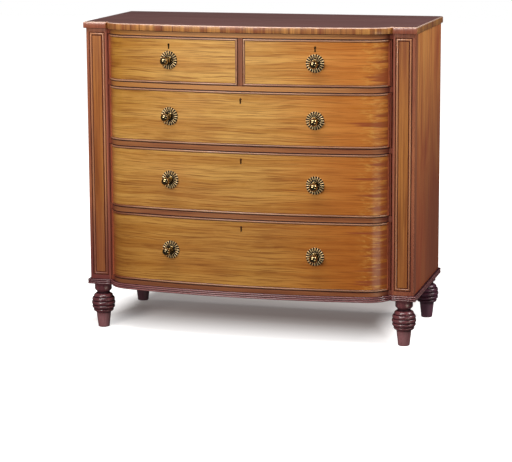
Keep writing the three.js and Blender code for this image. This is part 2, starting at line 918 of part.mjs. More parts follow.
// A cutter for the hole of a knob's stud
function studHole(x, z) {
  const geometry = new THREE.CylinderGeometry(
    studHoleRadius,
    studHoleRadius,
    frontThickness + 2 * overrun,
    knobSegments,
  );
  geometry.translate(0, frontThickness / 2, 0);
  return solidOf(geometry.applyMatrix4(bowPlace(x, z)));
}

function drawerFront(name, left, right, levels, knobs, lockAt) {
  const board = prism(frontPlan(left, right), levels.frontLow, levels.frontHigh);
  const pocket = block(
    [-lockWidth / 2 - fit, lockWidth / 2 + fit],
    [frontThickness - lockDepth - fit, frontThickness + overrun],
    [-lockHeight - fit, overrun],
    bowPlace(lockAt, levels.frontHigh),
  );
  const cutters = [
    frontGroove(left, right),
    pocket,
    keyhole(lockAt, levels.keyhole),
    ...knobs.map((x) => studHole(x, levels.knob)),
    ...[left, right].flatMap((end) => {
      const grown = frontTails(end, levels, fit);
      const opened = grown.map((tail) => [
        new THREE.Vector2(end.joint + overrun, tail[0].y),
        ...tail,
        new THREE.Vector2(end.joint + overrun, tail[3].y),
      ]);
      return tailSockets(end, opened);
    }),
  ];
  return piece(name, cut(board.add(cockBead(left, right, levels)), cutters), "veneer");
}

function drawerBackBoard(name, left, right, levels) {
  const board = block(
    [left.outer, right.outer],
    [drawerBack - drawerBackThickness + fit, drawerBack],
    [levels.backLow, levels.backHigh],
  );
  const cutters = [left, right].flatMap((end) => {
    const side = block(
      [end.inner + end.inwards * fit, end.outer - end.inwards * overrun],
      [-overrun, drawerBack - drawerBackThickness + fit],
      [levels.backLow - overrun, levels.backHigh + overrun],
    );
    return [side, ...tailSockets(end, backTails(levels, fit))];
  });
  return piece(name, cut(board, cutters), "drawerWood");
}

// The bottom board, let into grooves in the front and the sides. It runs out under the back.
function drawerBottom(name, left, right) {
  const depth = drawerGrooveDepth - fit;
  const frontOffset = depth - frontThickness;
  const startTurn = left.atPilaster ? left.turn : bowTurnAt(left.inner + left.inwards * fit);
  const endTurn = right.atPilaster ? right.turn : bowTurnAt(right.inner + right.inwards * fit);
  const corner = (end, from) => [
    new THREE.Vector2(from.x, end.joint + fit),
    new THREE.Vector2(end.inner - end.inwards * depth, end.joint + fit),
    new THREE.Vector2(end.inner - end.inwards * depth, drawerBack),
  ];
  const frontEdge = bowLine(frontOffset, startTurn, endTurn);
  const plan = [
    ...frontEdge,
    ...corner(right, frontEdge[frontEdge.length - 1]),
    ...corner(left, frontEdge[0]).reverse(),
  ];
  return piece(name, prism(plan, bottomLow, bottomHigh), "drawerWood");
}

// Knobs

// The fluted rosette behind a knob, built round Z with the wood at zero
function rosette() {
  const count = 2 * rosetteFlutes;
  const ring = (radius, valleyRadius, height, valleyHeight) =>
    Array.from({ length: count }, (_, i) => {
      const turn = (2 * Math.PI * i) / count;
      const crest = i % 2 === 0;
      const r = crest ? radius : valleyRadius;
      return new THREE.Vector3(r * Math.cos(turn), r * Math.sin(turn), crest ? height : valleyHeight);
    });
  const rim = rosetteRadius;
  const valley = rosetteRadius * rosetteShares.valley;
  const crown = rosetteRadius * rosetteShares.crown;
  const hollow = rosetteRadius * rosetteShares.hollow;
  return loft([
    ring(rim, valley, fit, fit),
    ring(rim, valley, rosetteThickness / 2, rosetteThickness / 3),
    ring(crown, crown, rosetteThickness, rosetteThickness / 2),
    ring(hollow, hollow, rosetteThickness / 2, rosetteThickness / 2),
  ]);
}

// Shares of the rosette's radius: the valleys between its rays, the crown of the rays and the hollow inside them
const rosetteShares = { valley: 0.93, crown: 0.8, hollow: 0.58 };

// The turned hub, neck and ball, with the stud that runs through the drawer front to a nut inside
function knobTurning() {
  const back = -frontThickness - fit;
  const ballMiddle = knobReach - knobBallRadius;
  const profile = [
    [0, back - nutThickness],
    [nutRadius, back - nutThickness],
    [nutRadius, back],
    [studRadius, back],
    [studRadius, rosetteThickness / 3],
    [knobHubRadius, rosetteThickness / 2],
    [knobHubRadius, knobHubHeight],
    [knobNeckRadius, knobHubHeight + knobNeckRadius],
  ];
  const neckTurn = Math.asin(knobNeckRadius / knobBallRadius);
  const ballSteps = knobSegments / 2;
  for (let step = 0; step < ballSteps; step += 1) {
    const turn = neckTurn + ((Math.PI - neckTurn) * step) / ballSteps;
    profile.push([knobBallRadius * Math.sin(turn), ballMiddle - knobBallRadius * Math.cos(turn)]);
  }
  profile.push([0, knobReach]);
  return solidOf(turning(profile.map(([r, z]) => new THREE.Vector2(r, z)), knobSegments));
}

const knobSolid = rosette().add(knobTurning());

// A knob stands square to the bow. The turning's axis is laid down to point out of the drawer.
function knob(name, x, z) {
  const made = piece(name, knobSolid, "brass");
  made.geometry.rotateX(Math.PI / 2);
  return setOnBow(made, x, z);
}

// Locks

// The lock case, let into the top edge of a drawer front. Local Z is zero on that edge.
function lock(name, x, z) {
  const front = frontThickness - lockDepth;
  const boltMiddle = frontThickness - lockDepth / 2;
  const chamber = [boltMiddle - boltThickness / 2 - boltPlay, boltMiddle + boltThickness / 2 + boltPlay];
  const body = block([-lockWidth / 2, lockWidth / 2], [front, frontThickness], [-lockHeight, 0]);
  const tailLow = -boltHeadDrop - boltTailHeight;
  const tailHigh = -boltHeadDrop + boltTravel + 2 * boltPlay;
  const tailHalf = boltTailWidth / 2 + boltPlay;
  const headHalf = boltWidth / 2 + boltPlay;
  const keyHalf = keyholeWidth / 2;
  const keyMiddle = frontTopGap - keyholeDrop;
  const cutters = [
    block([-tailHalf, tailHalf], chamber, [tailLow - fit, tailHigh]),
    block([-headHalf, headHalf], chamber, [-boltHeadDrop, overrun]),
    block(
      [-keyHalf, keyHalf],
      [front - overrun, chamber[1]],
      [keyMiddle - keyholeHeight / 2, keyMiddle + keyholeHeight / 2],
    ),
  ];
  return setOnBow(piece(name, cut(body, cutters), "iron"), x, z);
}

// The sliding bolt, drawn down inside its case
function lockBolt(name, x, z) {
  const boltMiddle = frontThickness - lockDepth / 2;
  const thickness = [boltMiddle - boltThickness / 2, boltMiddle + boltThickness / 2];
  const tailLow = -boltHeadDrop - boltTailHeight;
  const solid = joined([
    block([-boltTailWidth / 2, boltTailWidth / 2], thickness, [tailLow, -boltHeadDrop]),
    block([-boltWidth / 2, boltWidth / 2], thickness, [-boltHeadDrop - overrun, -boltPlay]),
  ]);
  return setOnBow(piece(name, solid, "brass"), x, z);
}

// A whole drawer, standing on the floor of its opening
function drawer(name, floor, openingHeight, left, right, knobs, lockAt) {
  const levels = drawerLevels(openingHeight);
  const group = new THREE.Group();
  group.position.z = floor;
  group.add(
    drawerFront(`${name}_drawer_front`, left, right, levels, knobs.map(([, x]) => x), lockAt),
    drawerSide(`${name}_drawer_side_left`, left, levels),
    drawerSide(`${name}_drawer_side_right`, right, levels),
    drawerBackBoard(`${name}_drawer_back`, left, right, levels),
    drawerBottom(`${name}_drawer_bottom`, left, right),
    ...knobs.map(([ending, x]) => knob(`${name}_drawer_knob${ending}`, x, levels.knob)),
    lock(`${name}_drawer_lock`, lockAt, levels.frontHigh),
    lockBolt(`${name}_drawer_lock_bolt`, lockAt, levels.frontHigh),
  );
  return group;
}

// The chest

const chest = new THREE.Group();
chest.name = "bow_front_chest";

const footAcross = halfWidth - footSideInset;
const footRear = carcaseDepth - footInset;
chest.add(
  topBoard(),
  topFrame(),
  sideBoard("side_left", -1),
  sideBoard("side_right", 1),
  backPanel(),
  pilaster("pilaster_left", -1),
  pilaster("pilaster_right", 1),
  upperShelf(),
  shelf("shelf_middle", rails.middle, [0]),
  shelf("shelf_lower", rails.lower, [0]),
  baseShelf(),
  centreDivider(),
  baseMoulding(),
  foot("foot_front_left", -footAcross, footInset),
  foot("foot_front_right", footAcross, footInset),
  foot("foot_back_left", -footAcross, footRear),
  foot("foot_back_right", footAcross, footRear),
);

const leftPilasterEnd = drawerEnd(-1, true);
const rightPilasterEnd = drawerEnd(1, true);
const knobPair = [
  ["_left", -knobSpread / 2],
  ["_right", knobSpread / 2],
];
const longDrawers = [
  ["lower", lowerFloor, lowerOpeningHeight],
  ["middle", middleFloor, middleOpeningHeight],
  ["upper", upperFloor, upperOpeningHeight],
];
longDrawers.forEach(([name, floor, height]) => {
  chest.add(drawer(name, floor, height, leftPilasterEnd, rightPilasterEnd, knobPair, 0));
});
const leftCentre = -knobSpread / 2;
const rightCentre = knobSpread / 2;
chest.add(
  drawer(
    "short_left",
    shortFloor,
    shortOpeningHeight,
    leftPilasterEnd,
    drawerEnd(-1, false),
    [["", leftCentre]],
    leftCentre,
  ),
  drawer(
    "short_right",
    shortFloor,
    shortOpeningHeight,
    drawerEnd(1, false),
    rightPilasterEnd,
    [["", rightCentre]],
    rightCentre,
  ),
);

// The origin is at the middle of the chest's depth, on the floor
const bounds = new THREE.Box3().setFromObject(chest, true);
chest.position.y = -(bounds.min.y + bounds.max.y) / 2;

export default chest;
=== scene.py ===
import logging
import math
from dataclasses import dataclass
from enum import Enum
from functools import cached_property, reduce
from typing import Callable, Iterable, Optional, Sequence, Union

import bmesh
import bpy
from mathutils import Matrix, Vector


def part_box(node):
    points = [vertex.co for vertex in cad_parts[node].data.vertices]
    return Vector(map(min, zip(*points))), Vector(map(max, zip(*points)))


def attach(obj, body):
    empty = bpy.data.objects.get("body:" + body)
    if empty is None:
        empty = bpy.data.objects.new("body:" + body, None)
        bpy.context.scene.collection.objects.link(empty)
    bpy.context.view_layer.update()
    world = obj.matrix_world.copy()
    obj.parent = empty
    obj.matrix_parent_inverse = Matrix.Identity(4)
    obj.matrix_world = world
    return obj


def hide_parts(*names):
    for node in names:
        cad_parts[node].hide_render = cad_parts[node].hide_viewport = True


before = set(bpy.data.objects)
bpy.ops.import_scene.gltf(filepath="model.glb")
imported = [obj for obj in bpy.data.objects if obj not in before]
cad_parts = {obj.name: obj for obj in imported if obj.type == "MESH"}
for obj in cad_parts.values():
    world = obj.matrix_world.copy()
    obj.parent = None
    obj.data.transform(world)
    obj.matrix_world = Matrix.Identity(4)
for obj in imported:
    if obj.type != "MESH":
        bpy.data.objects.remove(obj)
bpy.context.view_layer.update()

LOG = logging.getLogger("chest")
MM = 0.001
UP = Vector((0.0, 0.0, 1.0))
FRONT_Y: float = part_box("pilaster_left")[0].y
GRAIN_MAP = "grain"
PLACE_MAP = "place"
MIDDLE_OF_NOISE = 0.5
NEAR = 1e-6
SLACK = 0.1 * MM

Point = tuple[float, float]
Place = tuple[float, float, float]
Colour = tuple[float, float, float]
Section = tuple[Point, ...]
Socket = bpy.types.NodeSocket
Edge = bmesh.types.BMEdge
Face = bpy.types.MeshPolygon
Source = Union[Socket, float, Place]


class Slot(Enum):
    """Material slots of the record. The new pieces are handed one each, but their finishes come from
    Finishes.
    """

    FRONT = "drawer_front_wood"
    CARCASE = "carcase_wood"
    TURNED = "turned_wood"
    BRASS = "brass"


class Grain(Enum):
    """Where a pattern takes its place from. The value turns object axes so that the grain runs along X."""

    MAP = None
    ALONG_X = (0.0, 0.0, 0.0)
    ALONG_Y = (0.0, 0.0, 90.0)
    ALONG_Z = (0.0, 90.0, 0.0)


class Axis(Enum):
    """The coordinates of a place."""

    X = "X"
    Y = "Y"
    Z = "Z"


class Along(Enum):
    """What a ramp runs along: across the bow by the piece's own map, or an axis of the whole chest."""

    BOW = (PLACE_MAP, Axis.X)
    X = (None, Axis.X)
    Y = (None, Axis.Y)
    Z = (None, Axis.Z)


class Step(Enum):
    """Steps of arithmetic, by Blender's names."""

    ADD = "ADD"
    SUBTRACT = "SUBTRACT"
    MULTIPLY = "MULTIPLY"
    DIVIDE = "DIVIDE"
    MAXIMUM = "MAXIMUM"
    ABSOLUTE = "ABSOLUTE"


class Blend(Enum):
    """Ways to lay one colour over another, by Blender's names."""

    MIX = "MIX"
    MULTIPLY = "MULTIPLY"


def srgb(red: int, green: int, blue: int) -> Colour:
    """Turns a colour as it was read off into Blender's linear light.

    Args:
        red: Its red, from 0 to 255.
        green: Its green.
        blue: Its blue.

    Returns:
        The colour, each part from 0 to 1.
    """

    def linear(value: int) -> float:
        """Undoes the display's curve for one part of the colour.

        Args:
            value: The part, from 0 to 255.

        Returns:
            The part as light, from 0 to 1.
        """
        share = value / 255
        return share / 12.92 if share <= 0.04045 else ((share + 0.055) / 1.055) ** 2.4

    return linear(red), linear(green), linear(blue)


# Patterns


@dataclass(frozen=True)
class Pattern:
    """Smooth noise in a material.

    The scale is in repeats per metre along, across and through the grain. The part is the stretch of the
    noise's values over which the pattern comes in.
    """

    scale: Place
    shift: Place = (0.0, 0.0, 0.0)
    detail: float = 3.0
    rough: float = 0.6
    warp: float = 0.0
    part: Point = (0.0, 1.0)


WAVES = Pattern((3.2, 6.0, 6.0), (11.0, 4.0, 6.0), detail=2.0, rough=0.5)
BANDS = Pattern((1.3, 34.0, 12.0), detail=4.0, warp=0.4, part=(0.36, 0.64))
STREAKS = Pattern((2.2, 120.0, 40.0), (3.0, 1.0, 2.0), detail=4.0, rough=0.62, warp=0.3, part=(0.46, 0.7))
GLINTS = Pattern((5.0, 190.0, 70.0), (8.0, 6.0, 1.0), warp=0.4, part=(0.52, 0.72))
THREADS = Pattern((7.5, 300.0, 120.0), (1.0, 7.0, 3.0), part=(0.45, 0.7))
CELLS = Pattern((150.0, 1700.0, 700.0), (2.0, 9.0, 4.0), detail=2.0, rough=0.7, part=(0.6, 0.72))
CLOUDS = Pattern((2.6, 5.5, 4.0), (5.0, 2.0, 8.0), rough=0.55, warp=0.4, part=(0.46, 0.74))
PATCHES = Pattern((11.0, 24.0, 14.0), (4.0, 8.0, 3.0), rough=0.55, warp=1.0, part=(0.48, 0.68))
# painted highlight: breaks up the pale flecks that stand for a light's reflection near the front's right end
PAINTED_HIGHLIGHT_FLECKS = Pattern((34.0, 120.0, 1.0), (2.0, 5.0, 7.0), part=(0.46, 0.64))
TONGUES = Pattern((2.4, 58.0, 1.0), (6.0, 3.0, 1.0), detail=2.0, rough=0.5)
STAINS = Pattern((160.0, 160.0, 160.0), detail=5.0, rough=0.65, warp=0.4, part=(0.42, 0.7))
SCRATCHES = Pattern((900.0, 900.0, 2600.0), (4.0, 2.0, 9.0), detail=2.0)
PAPER = Pattern((40.0, 40.0, 40.0), detail=2.0, rough=0.5, part=(0.3, 0.7))


class Graph:
    """A material's node tree, with short calls for the nodes that the finishes need."""

    def __init__(self, name: str) -> None:
        """Starts an empty material with a Principled shader on its output.

        Args:
            name: The material's name.
        """
        self.material = bpy.data.materials.new(name)
        self.material.use_nodes = True
        self.tree = self.material.node_tree
        self.tree.nodes.clear()
        self.shader = self.tree.nodes.new("ShaderNodeBsdfPrincipled")
        self.sources: dict[str, Socket] = {}
        output = self.tree.nodes.new("ShaderNodeOutputMaterial")
        self.tree.links.new(self.shader.outputs["BSDF"], output.inputs["Surface"])

    def join(self, source: Source, target: Socket) -> None:
        """Feeds a socket from another socket, or sets it to a plain value.

        Args:
            source: An output socket, a number, a vector or a colour.
            target: The input socket.
        """
        if isinstance(source, Socket):
            self.tree.links.new(source, target)
        elif isinstance(source, tuple) and target.type == "RGBA":
            target.default_value = (*source, 1.0)
        else:
            target.default_value = source

    def node(self, kind: str, inputs: dict[str, Source]) -> bpy.types.Node:
        """Adds a node and fills its inputs.

        Args:
            kind: Blender's name for the node.
            inputs: What each input is fed from or set to.

        Returns:
            The node.
        """
        node = self.tree.nodes.new(kind)
        for name, source in inputs.items():
            self.join(source, node.inputs[name])
        return node

    def dress(self, inputs: dict[str, Source]) -> None:
        """Fills the shader's inputs.

        Args:
            inputs: What each input is fed from or set to.
        """
        for name, source in inputs.items():
            self.join(source, self.shader.inputs[name])

    def uv(self, layer: str) -> Socket:
        """The coordinates of one of the piece's own maps.

        Args:
            layer: The map's name.

        Returns:
            The vector socket.
        """
        if layer not in self.sources:
            source = self.tree.nodes.new("ShaderNodeUVMap")
            source.uv_map = layer
            self.sources[layer] = source.outputs["UV"]
        return self.sources[layer]

    def source(self, grain: Grain) -> Socket:
        """Coordinates in metres with the grain along X.

        Args:
            grain: Which map or axis the grain follows.

        Returns:
            The vector socket.
        """
        if grain is Grain.MAP:
            return self.uv(GRAIN_MAP)
        if grain.name not in self.sources:
            place = self.tree.nodes.new("ShaderNodeTexCoord").outputs["Object"]
            angles = tuple(math.radians(angle) for angle in grain.value)
            turn = self.node("ShaderNodeMapping", {"Vector": place, "Rotation": angles})
            self.sources[grain.name] = turn.outputs["Vector"]
        return self.sources[grain.name]

    def pattern(self, kind: Pattern, vector: Socket, fineness: float = 1.0) -> Socket:
        """The values of a pattern, from 0 to 1.

        Args:
            kind: The pattern.
            vector: The coordinates in metres, with the grain along X.
            fineness: How many times narrower it is across and through the grain.

        Returns:
            The value socket.
        """
        along, across, through = kind.scale
        scale = (along, across * fineness, through * fineness)
        mapping = self.node("ShaderNodeMapping", {"Vector": vector, "Scale": scale, "Location": kind.shift})
        place = mapping.outputs["Vector"]
        inputs = {"Detail": kind.detail, "Roughness": kind.rough, "Distortion": kind.warp}
        return self.node("ShaderNodeTexNoise", {"Vector": place, "Scale": 1.0, **inputs}).outputs["Fac"]

    def shown(self, kind: Pattern, value: Socket, share: float) -> Socket:
        """How strongly a pattern shows, from its values and its greatest share."""
        return self.times(self.between(value, *kind.part), share)

    def swayed(self, vector: Socket, reach: float) -> Socket:
        """Bends straight grain into slow waves.

        Args:
            vector: The coordinates in metres.
            reach: How far the grain strays sideways, in metres.

        Returns:
            The bent coordinates.
        """
        waves = self.minus(self.pattern(WAVES, vector), MIDDLE_OF_NOISE)
        offset = self.node("ShaderNodeCombineXYZ", {"Y": self.times(waves, 2 * reach)})
        return self.vector(Step.ADD, vector, offset.outputs["Vector"])

    def between(
        self, value: Source, low: float, high: float, start: float = 0.0, end: float = 1.0
    ) -> Socket:
        """Stretches the part of a value from low to high over the range from start to end, and clamps it.

        Args:
            value: The value.
            low: Where its used part starts.
            high: Where its used part ends.
            start: The result at the low end.
            end: The result at the high end.

        Returns:
            The value socket.
        """
        node = self.node(
            "ShaderNodeMapRange",
            {"Value": value, "From Min": low, "From Max": high, "To Min": start, "To Max": end},
        )
        node.interpolation_type = "SMOOTHSTEP"
        return node.outputs["Result"]

    def step(self, kind: Step, first: Source, second: Source = 0.0) -> Socket:
        """One step of arithmetic on numbers.

        Args:
            kind: The step.
            first: The first number or socket.
            second: The second number or socket.

        Returns:
            The value socket.
        """
        node = self.tree.nodes.new("ShaderNodeMath")
        node.operation = kind.value
        self.join(first, node.inputs[0])
        self.join(second, node.inputs[1])
        return node.outputs[0]

    def plus(self, first: Source, second: Source) -> Socket:
        """The sum of two numbers."""
        return self.step(Step.ADD, first, second)

    def minus(self, first: Source, second: Source) -> Socket:
        """The first number less the second."""
        return self.step(Step.SUBTRACT, first, second)

    def times(self, first: Source, second: Source) -> Socket:
        """The product of two numbers."""
        return self.step(Step.MULTIPLY, first, second)

    def vector(self, kind: Step, first: Source, second: Source) -> Socket:
        """One step of arithmetic on vectors.

        Args:
            kind: The step.
            first: The first vector or socket.
            second: The second vector or socket.

        Returns:
            The vector socket.
        """
        node = self.tree.nodes.new("ShaderNodeVectorMath")
        node.operation = kind.value
        self.join(first, node.inputs[0])
        self.join(second, node.inputs[1])
        return node.outputs["Vector"]

    def axis(self, vector: Socket, axis: Axis) -> Socket:
        """One coordinate of a vector."""
        return self.node("ShaderNodeSeparateXYZ", {"Vector": vector}).outputs[axis.value]

    def place(self, along: Along) -> Socket:
        """The coordinate that a ramp runs along."""
        layer, axis = along.value
        return self.axis(self.uv(layer) if layer else self.source(Grain.ALONG_X), axis)

    def mix(self, share: Source, first: Source, second: Source, blend: Blend = Blend.MIX) -> Socket:
        """Lays one colour over another.

        Args:
            share: How much of the second shows.
            first: The colour at share 0.
            second: The colour at share 1.
            blend: The way of mixing.

        Returns:
            The colour socket.
        """
        node = self.tree.nodes.new("ShaderNodeMix")
        node.data_type = "RGBA"
        node.blend_type = blend.value
        inputs = {socket.identifier: socket for socket in node.inputs}
        self.join(share, node.inputs["Factor"])
        self.join(first, inputs["A_Color"])
        self.join(second, inputs["B_Color"])
        return next(socket for socket in node.outputs if socket.identifier == "Result_Color")

    def raise_grain(self, height: Socket, strength: float, distance: float) -> None:
        """Lets a value stand up as relief on the surface.

        Args:
            height: The value.
            strength: How strongly it shows.
            distance: The height of a full step, in metres.
        """
        bump = self.node("ShaderNodeBump", {"Height": height, "Strength": strength, "Distance": distance})
        self.dress({"Normal": bump.outputs["Normal"]})


# Finishes


@dataclass(frozen=True)
class Finish:
    """What a surface is made of. Its material is made once."""

    name: str

    def material(self) -> bpy.types.Material:
        """The finish's material."""
        return bpy.data.materials.get(self.name) or self.make()

    def make(self) -> bpy.types.Material:
        """Builds the material, each kind of finish in its own way."""
        raise NotImplementedError


@dataclass(frozen=True)
class Tones:
    """A wood's colours: its pale and its middle one, that of its dark lines, and a redder one."""

    light: Colour
    middle: Colour
    dark: Colour
    blush: Colour

    @classmethod
    def read(cls, *colours: tuple[int, int, int]) -> "Tones":
        """The four colours as they were read off, from 0 to 255."""
        return cls(*(srgb(*colour) for colour in colours))


@dataclass(frozen=True)
class Ramp:
    """Where a tint comes in, from its least share at one place to its greatest at another.

    Places are in metres, or from -1 to 1 across the bow. The figure breaks the edge by the broken length. An
    even ramp runs both ways from the middle.
    """

    along: Along
    start: float
    end: float
    least: float = 0.0
    most: float = 1.0
    broken: float = 0.0
    even: bool = False

    def share(self, graph: Graph, figure: Socket) -> Socket:
        """How strongly the tint shows.

        Args:
            graph: The tree.
            figure: The streaks.

        Returns:
            The share's socket.
        """
        place = graph.place(self.along)
        if self.even:
            place = graph.step(Step.ABSOLUTE, place)
        if self.broken:
            strayed = graph.times(graph.minus(figure, MIDDLE_OF_NOISE), self.broken)
            place = graph.plus(place, strayed)
        return graph.between(place, self.start, self.end, self.least, self.most)


@dataclass(frozen=True)
class Tint:
    """A colour that is laid over part of a piece. It shows where all its ramps, and its pattern, let it."""

    colour: Colour
    ramps: tuple[Ramp, ...]
    blend: Blend = Blend.MIX
    pattern: Optional[Pattern] = None

    def laid(self, graph: Graph, colour: Source, figure: Socket, grain: Grain) -> Socket:
        """Lays the tint over a colour.

        Args:
            graph: The tree.
            colour: The colour so far.
            figure: The streaks.
            grain: What the pattern follows.

        Returns:
            The new colour.
        """
        shares = [ramp.share(graph, figure) for ramp in self.ramps]
        if self.pattern:
            values = graph.pattern(self.pattern, graph.source(grain))
            shares.append(graph.between(values, *self.pattern.part))
        return graph.mix(reduce(graph.times, shares), colour, self.colour, self.blend)


@dataclass(frozen=True)
class Wood(Finish):
    """A timber with bands and streaks along its grain, fine threads, pores and reddish clouds.

    Each pattern is given by its greatest share. The tints are laid over it in order. Clouds and threads
    make the polish duller: the roughness goes from the first to the second spread times its value. Threads
    stand up and pores sink in by their shares of the relief's height.
    """

    tones: Tones
    tints: tuple[Tint, ...] = ()
    grain: Grain = Grain.MAP
    bands: float = 0.6
    streaks: float = 0.45
    glints: float = 0.7
    threads: float = 0.3
    pores: float = 0.35
    clouds: float = 0.3
    mottle: float = 0.0
    sway: float = 5 * MM
    fineness: float = 1.0
    roughness: float = 0.32
    spread: Point = (0.85, 1.2)
    dull_part: Point = (0.35, 0.65)
    dull_clouds: float = 0.6
    dull_threads: float = 0.4
    coat: float = 0.15
    coat_roughness: float = 0.22
    gloss: float = 0.5
    relief: float = 0.12
    relief_height: float = 0.3 * MM
    raised_threads: float = 0.7
    sunk_pores: float = 0.6

    def make(self) -> bpy.types.Material:
        """Builds the material.

        Returns:
            The new material.
        """
        graph = Graph(self.name)
        straight = graph.source(self.grain)
        bent = graph.swayed(straight, self.sway)
        streaks = graph.pattern(STREAKS, bent, self.fineness)
        threads = graph.pattern(THREADS, bent, self.fineness)
        glints = graph.pattern(GLINTS, bent, self.fineness)
        cells = graph.pattern(CELLS, straight, self.fineness)
        clouds = graph.pattern(CLOUDS, straight)
        layers = [
            (BANDS, graph.pattern(BANDS, bent, self.fineness), self.bands, self.tones.middle),
            (CLOUDS, clouds, self.clouds, self.tones.blush),
            (STREAKS, streaks, self.streaks, self.tones.dark),
            (GLINTS, glints, self.glints * self.streaks, self.tones.light),
            (THREADS, threads, self.threads, self.tones.dark),
            (CELLS, cells, self.pores, self.tones.dark),
        ]
        if self.mottle:
            patches = graph.pattern(PATCHES, bent, self.fineness)
            layers.insert(2, (PATCHES, patches, self.mottle, self.tones.light))
        colour: Source = self.tones.light
        for kind, value, share, tone in layers:
            colour = graph.mix(graph.shown(kind, value, share), colour, tone)
        dull = graph.plus(graph.times(clouds, self.dull_clouds), graph.times(threads, self.dull_threads))
        fine, coarse = (self.roughness * factor for factor in self.spread)
        graph.dress(
            {
                "Base Color": self.shaded(graph, colour, streaks),
                "Roughness": graph.between(dull, *self.dull_part, fine, coarse),
                "Specular IOR Level": self.gloss,
                "Coat Weight": self.coat,
                "Coat Roughness": self.coat_roughness,
            }
        )
        sunk = graph.shown(CELLS, cells, self.sunk_pores)
        height = graph.minus(graph.times(threads, self.raised_threads), sunk)
        graph.raise_grain(height, self.relief, self.relief_height)
        return graph.material

    def shaded(self, graph: Graph, colour: Source, figure: Socket) -> Source:
        """Lays the tints over the plain colour.

        Args:
            graph: The tree.
            colour: The plain wood's colour.
            figure: The streaks, which break the edges.

        Returns:
            The shaded colour.
        """
        for tint in self.tints:
            colour = tint.laid(graph, colour, figure, self.grain)
        return colour


@dataclass(frozen=True)
class FrontVeneer(Wood):
    """The front's veneer, with dark red ends, partly painted shade, and tongues reaching in from the right
    one.

    Places run across the bow, from -1 at its left end to 1 at its right one.
    """

    end_red_and_shade: Colour = (0.2, 0.05, 0.02)
    end_red_and_shade_share: float = 0.8
    end_red_and_shade_part: Point = (0.89, 1.01)
    end_red_and_shade_break: float = 0.12
    tongue_reach: float = 0.0
    tongue_middle: float = 0.47
    tongue_part: Point = (0.0, 0.5)

    def shaded(self, graph: Graph, colour: Source, figure: Socket) -> Source:
        """Lays the tints and then the dark red ends, partly painted shade, over the plain colour.

        Args:
            graph: The tree.
            colour: The plain veneer's colour.
            figure: The streaks, which break the edges.

        Returns:
            The shaded colour.
        """
        tinted = super().shaded(graph, colour, figure)
        across = graph.place(Along.BOW)
        tongues = graph.minus(graph.pattern(TONGUES, graph.source(self.grain)), self.tongue_middle)
        on_right = graph.between(across, *self.tongue_part)
        reach = graph.times(graph.times(tongues, self.tongue_reach), on_right)
        # painted shade mixed with the veneer's own dark red at both ends, where they meet the pilasters; the
        # tongues are figure
        broken = graph.times(graph.minus(figure, MIDDLE_OF_NOISE), self.end_red_and_shade_break)
        far = graph.plus(graph.step(Step.ABSOLUTE, across), broken)
        share = graph.between(graph.plus(far, reach), *self.end_red_and_shade_part, 0.0, self.end_red_and_shade_share)
        return graph.mix(share, tinted, self.end_red_and_shade)


@dataclass(frozen=True)
class TurnedWood(Wood):
    """The feet's wood, paler on the leg below the bulb: painted light, as if bounced up from the floor."""

    # painted light: the leg's paler colour stands for light bounced up from the floor
    leg: Colour = (0.3, 0.15, 0.15)
    leg_painted_light: Ramp = Ramp(Along.Z, 48 * MM, 46 * MM, most=0.85)
    leg_streaks: float = 0.5
    leg_part: Point = (0.45, 0.7)

    def shaded(self, graph: Graph, colour: Source, figure: Socket) -> Source:
        """Pales the leg with painted light.

        Args:
            graph: The tree.
            colour: The plain wood's colour.
            figure: The streaks, which are paler still.

        Returns:
            The shaded colour.
        """
        streaks = graph.between(figure, *self.leg_part, 0.0, self.leg_streaks)
        paler = graph.mix(streaks, self.leg, self.tones.light)
        return graph.mix(self.leg_painted_light.share(graph, figure), colour, paler)


@dataclass(frozen=True)
class Brass(Finish):
    """Old lacquered metal, bright where hands rub it and dull where it has tarnished.

    The roughness goes from the first to the second spread times its value, where the stains are.
    """

    bright: Colour
    dull: Colour
    roughness: float
    metal: float = 1.0
    lacquer: float = 0.3
    lacquer_roughness: float = 0.12
    spread: Point = (0.8, 1.5)
    rough_part: Point = (0.3, 0.75)
    relief: float = 0.08
    relief_height: float = 0.1 * MM

    def make(self) -> bpy.types.Material:
        """Builds the material.

        Returns:
            The new material.
        """
        graph = Graph(self.name)
        place = graph.source(Grain.ALONG_X)
        stains = graph.pattern(STAINS, place)
        scratches = graph.pattern(SCRATCHES, place)
        smooth, rough = (self.roughness * factor for factor in self.spread)
        graph.dress(
            {
                "Base Color": graph.mix(graph.between(stains, *STAINS.part), self.bright, self.dull),
                "Metallic": self.metal,
                "Coat Weight": self.lacquer,
                "Coat Roughness": self.lacquer_roughness,
                "Roughness": graph.between(stains, *self.rough_part, smooth, rough),
            }
        )
        graph.raise_grain(graph.plus(stains, scratches), self.relief, self.relief_height)
        return graph.material


# Painted shade on the front's veneer and rails: darker at the lower left, and along the left end, more so
# higher up
FOOT_SHADE = Tint(
    (0.6, 0.5, 0.42), (Ramp(Along.BOW, -0.6, -1.15, broken=0.7), Ramp(Along.Z, 0.5, 0.3)), Blend.MULTIPLY
)
LEFT_END_PAINTED_SHADE = Tint(
    (0.72, 0.64, 0.4),
    (Ramp(Along.BOW, -0.4, -1.0, broken=0.7), Ramp(Along.Z, 0.55, 0.9, least=0.15)),
    Blend.MULTIPLY,
)


def flame(most: float) -> Tint:
    """The orange tint of the front's right part, by its greatest share."""
    return Tint((0.94, 0.57, 0.38), (Ramp(Along.BOW, 0.0, 0.8, most=most, broken=0.7),), Blend.MULTIPLY)


def reddened(colour: Colour, least: float, most: float) -> Tint:
    """A pilaster's tint near its foot, with its share on the right and on the left pilaster."""
    return Tint(colour, (Ramp(Along.Z, 0.52, 0.2, broken=0.2), Ramp(Along.X, 0.2, -0.2, least, most)))


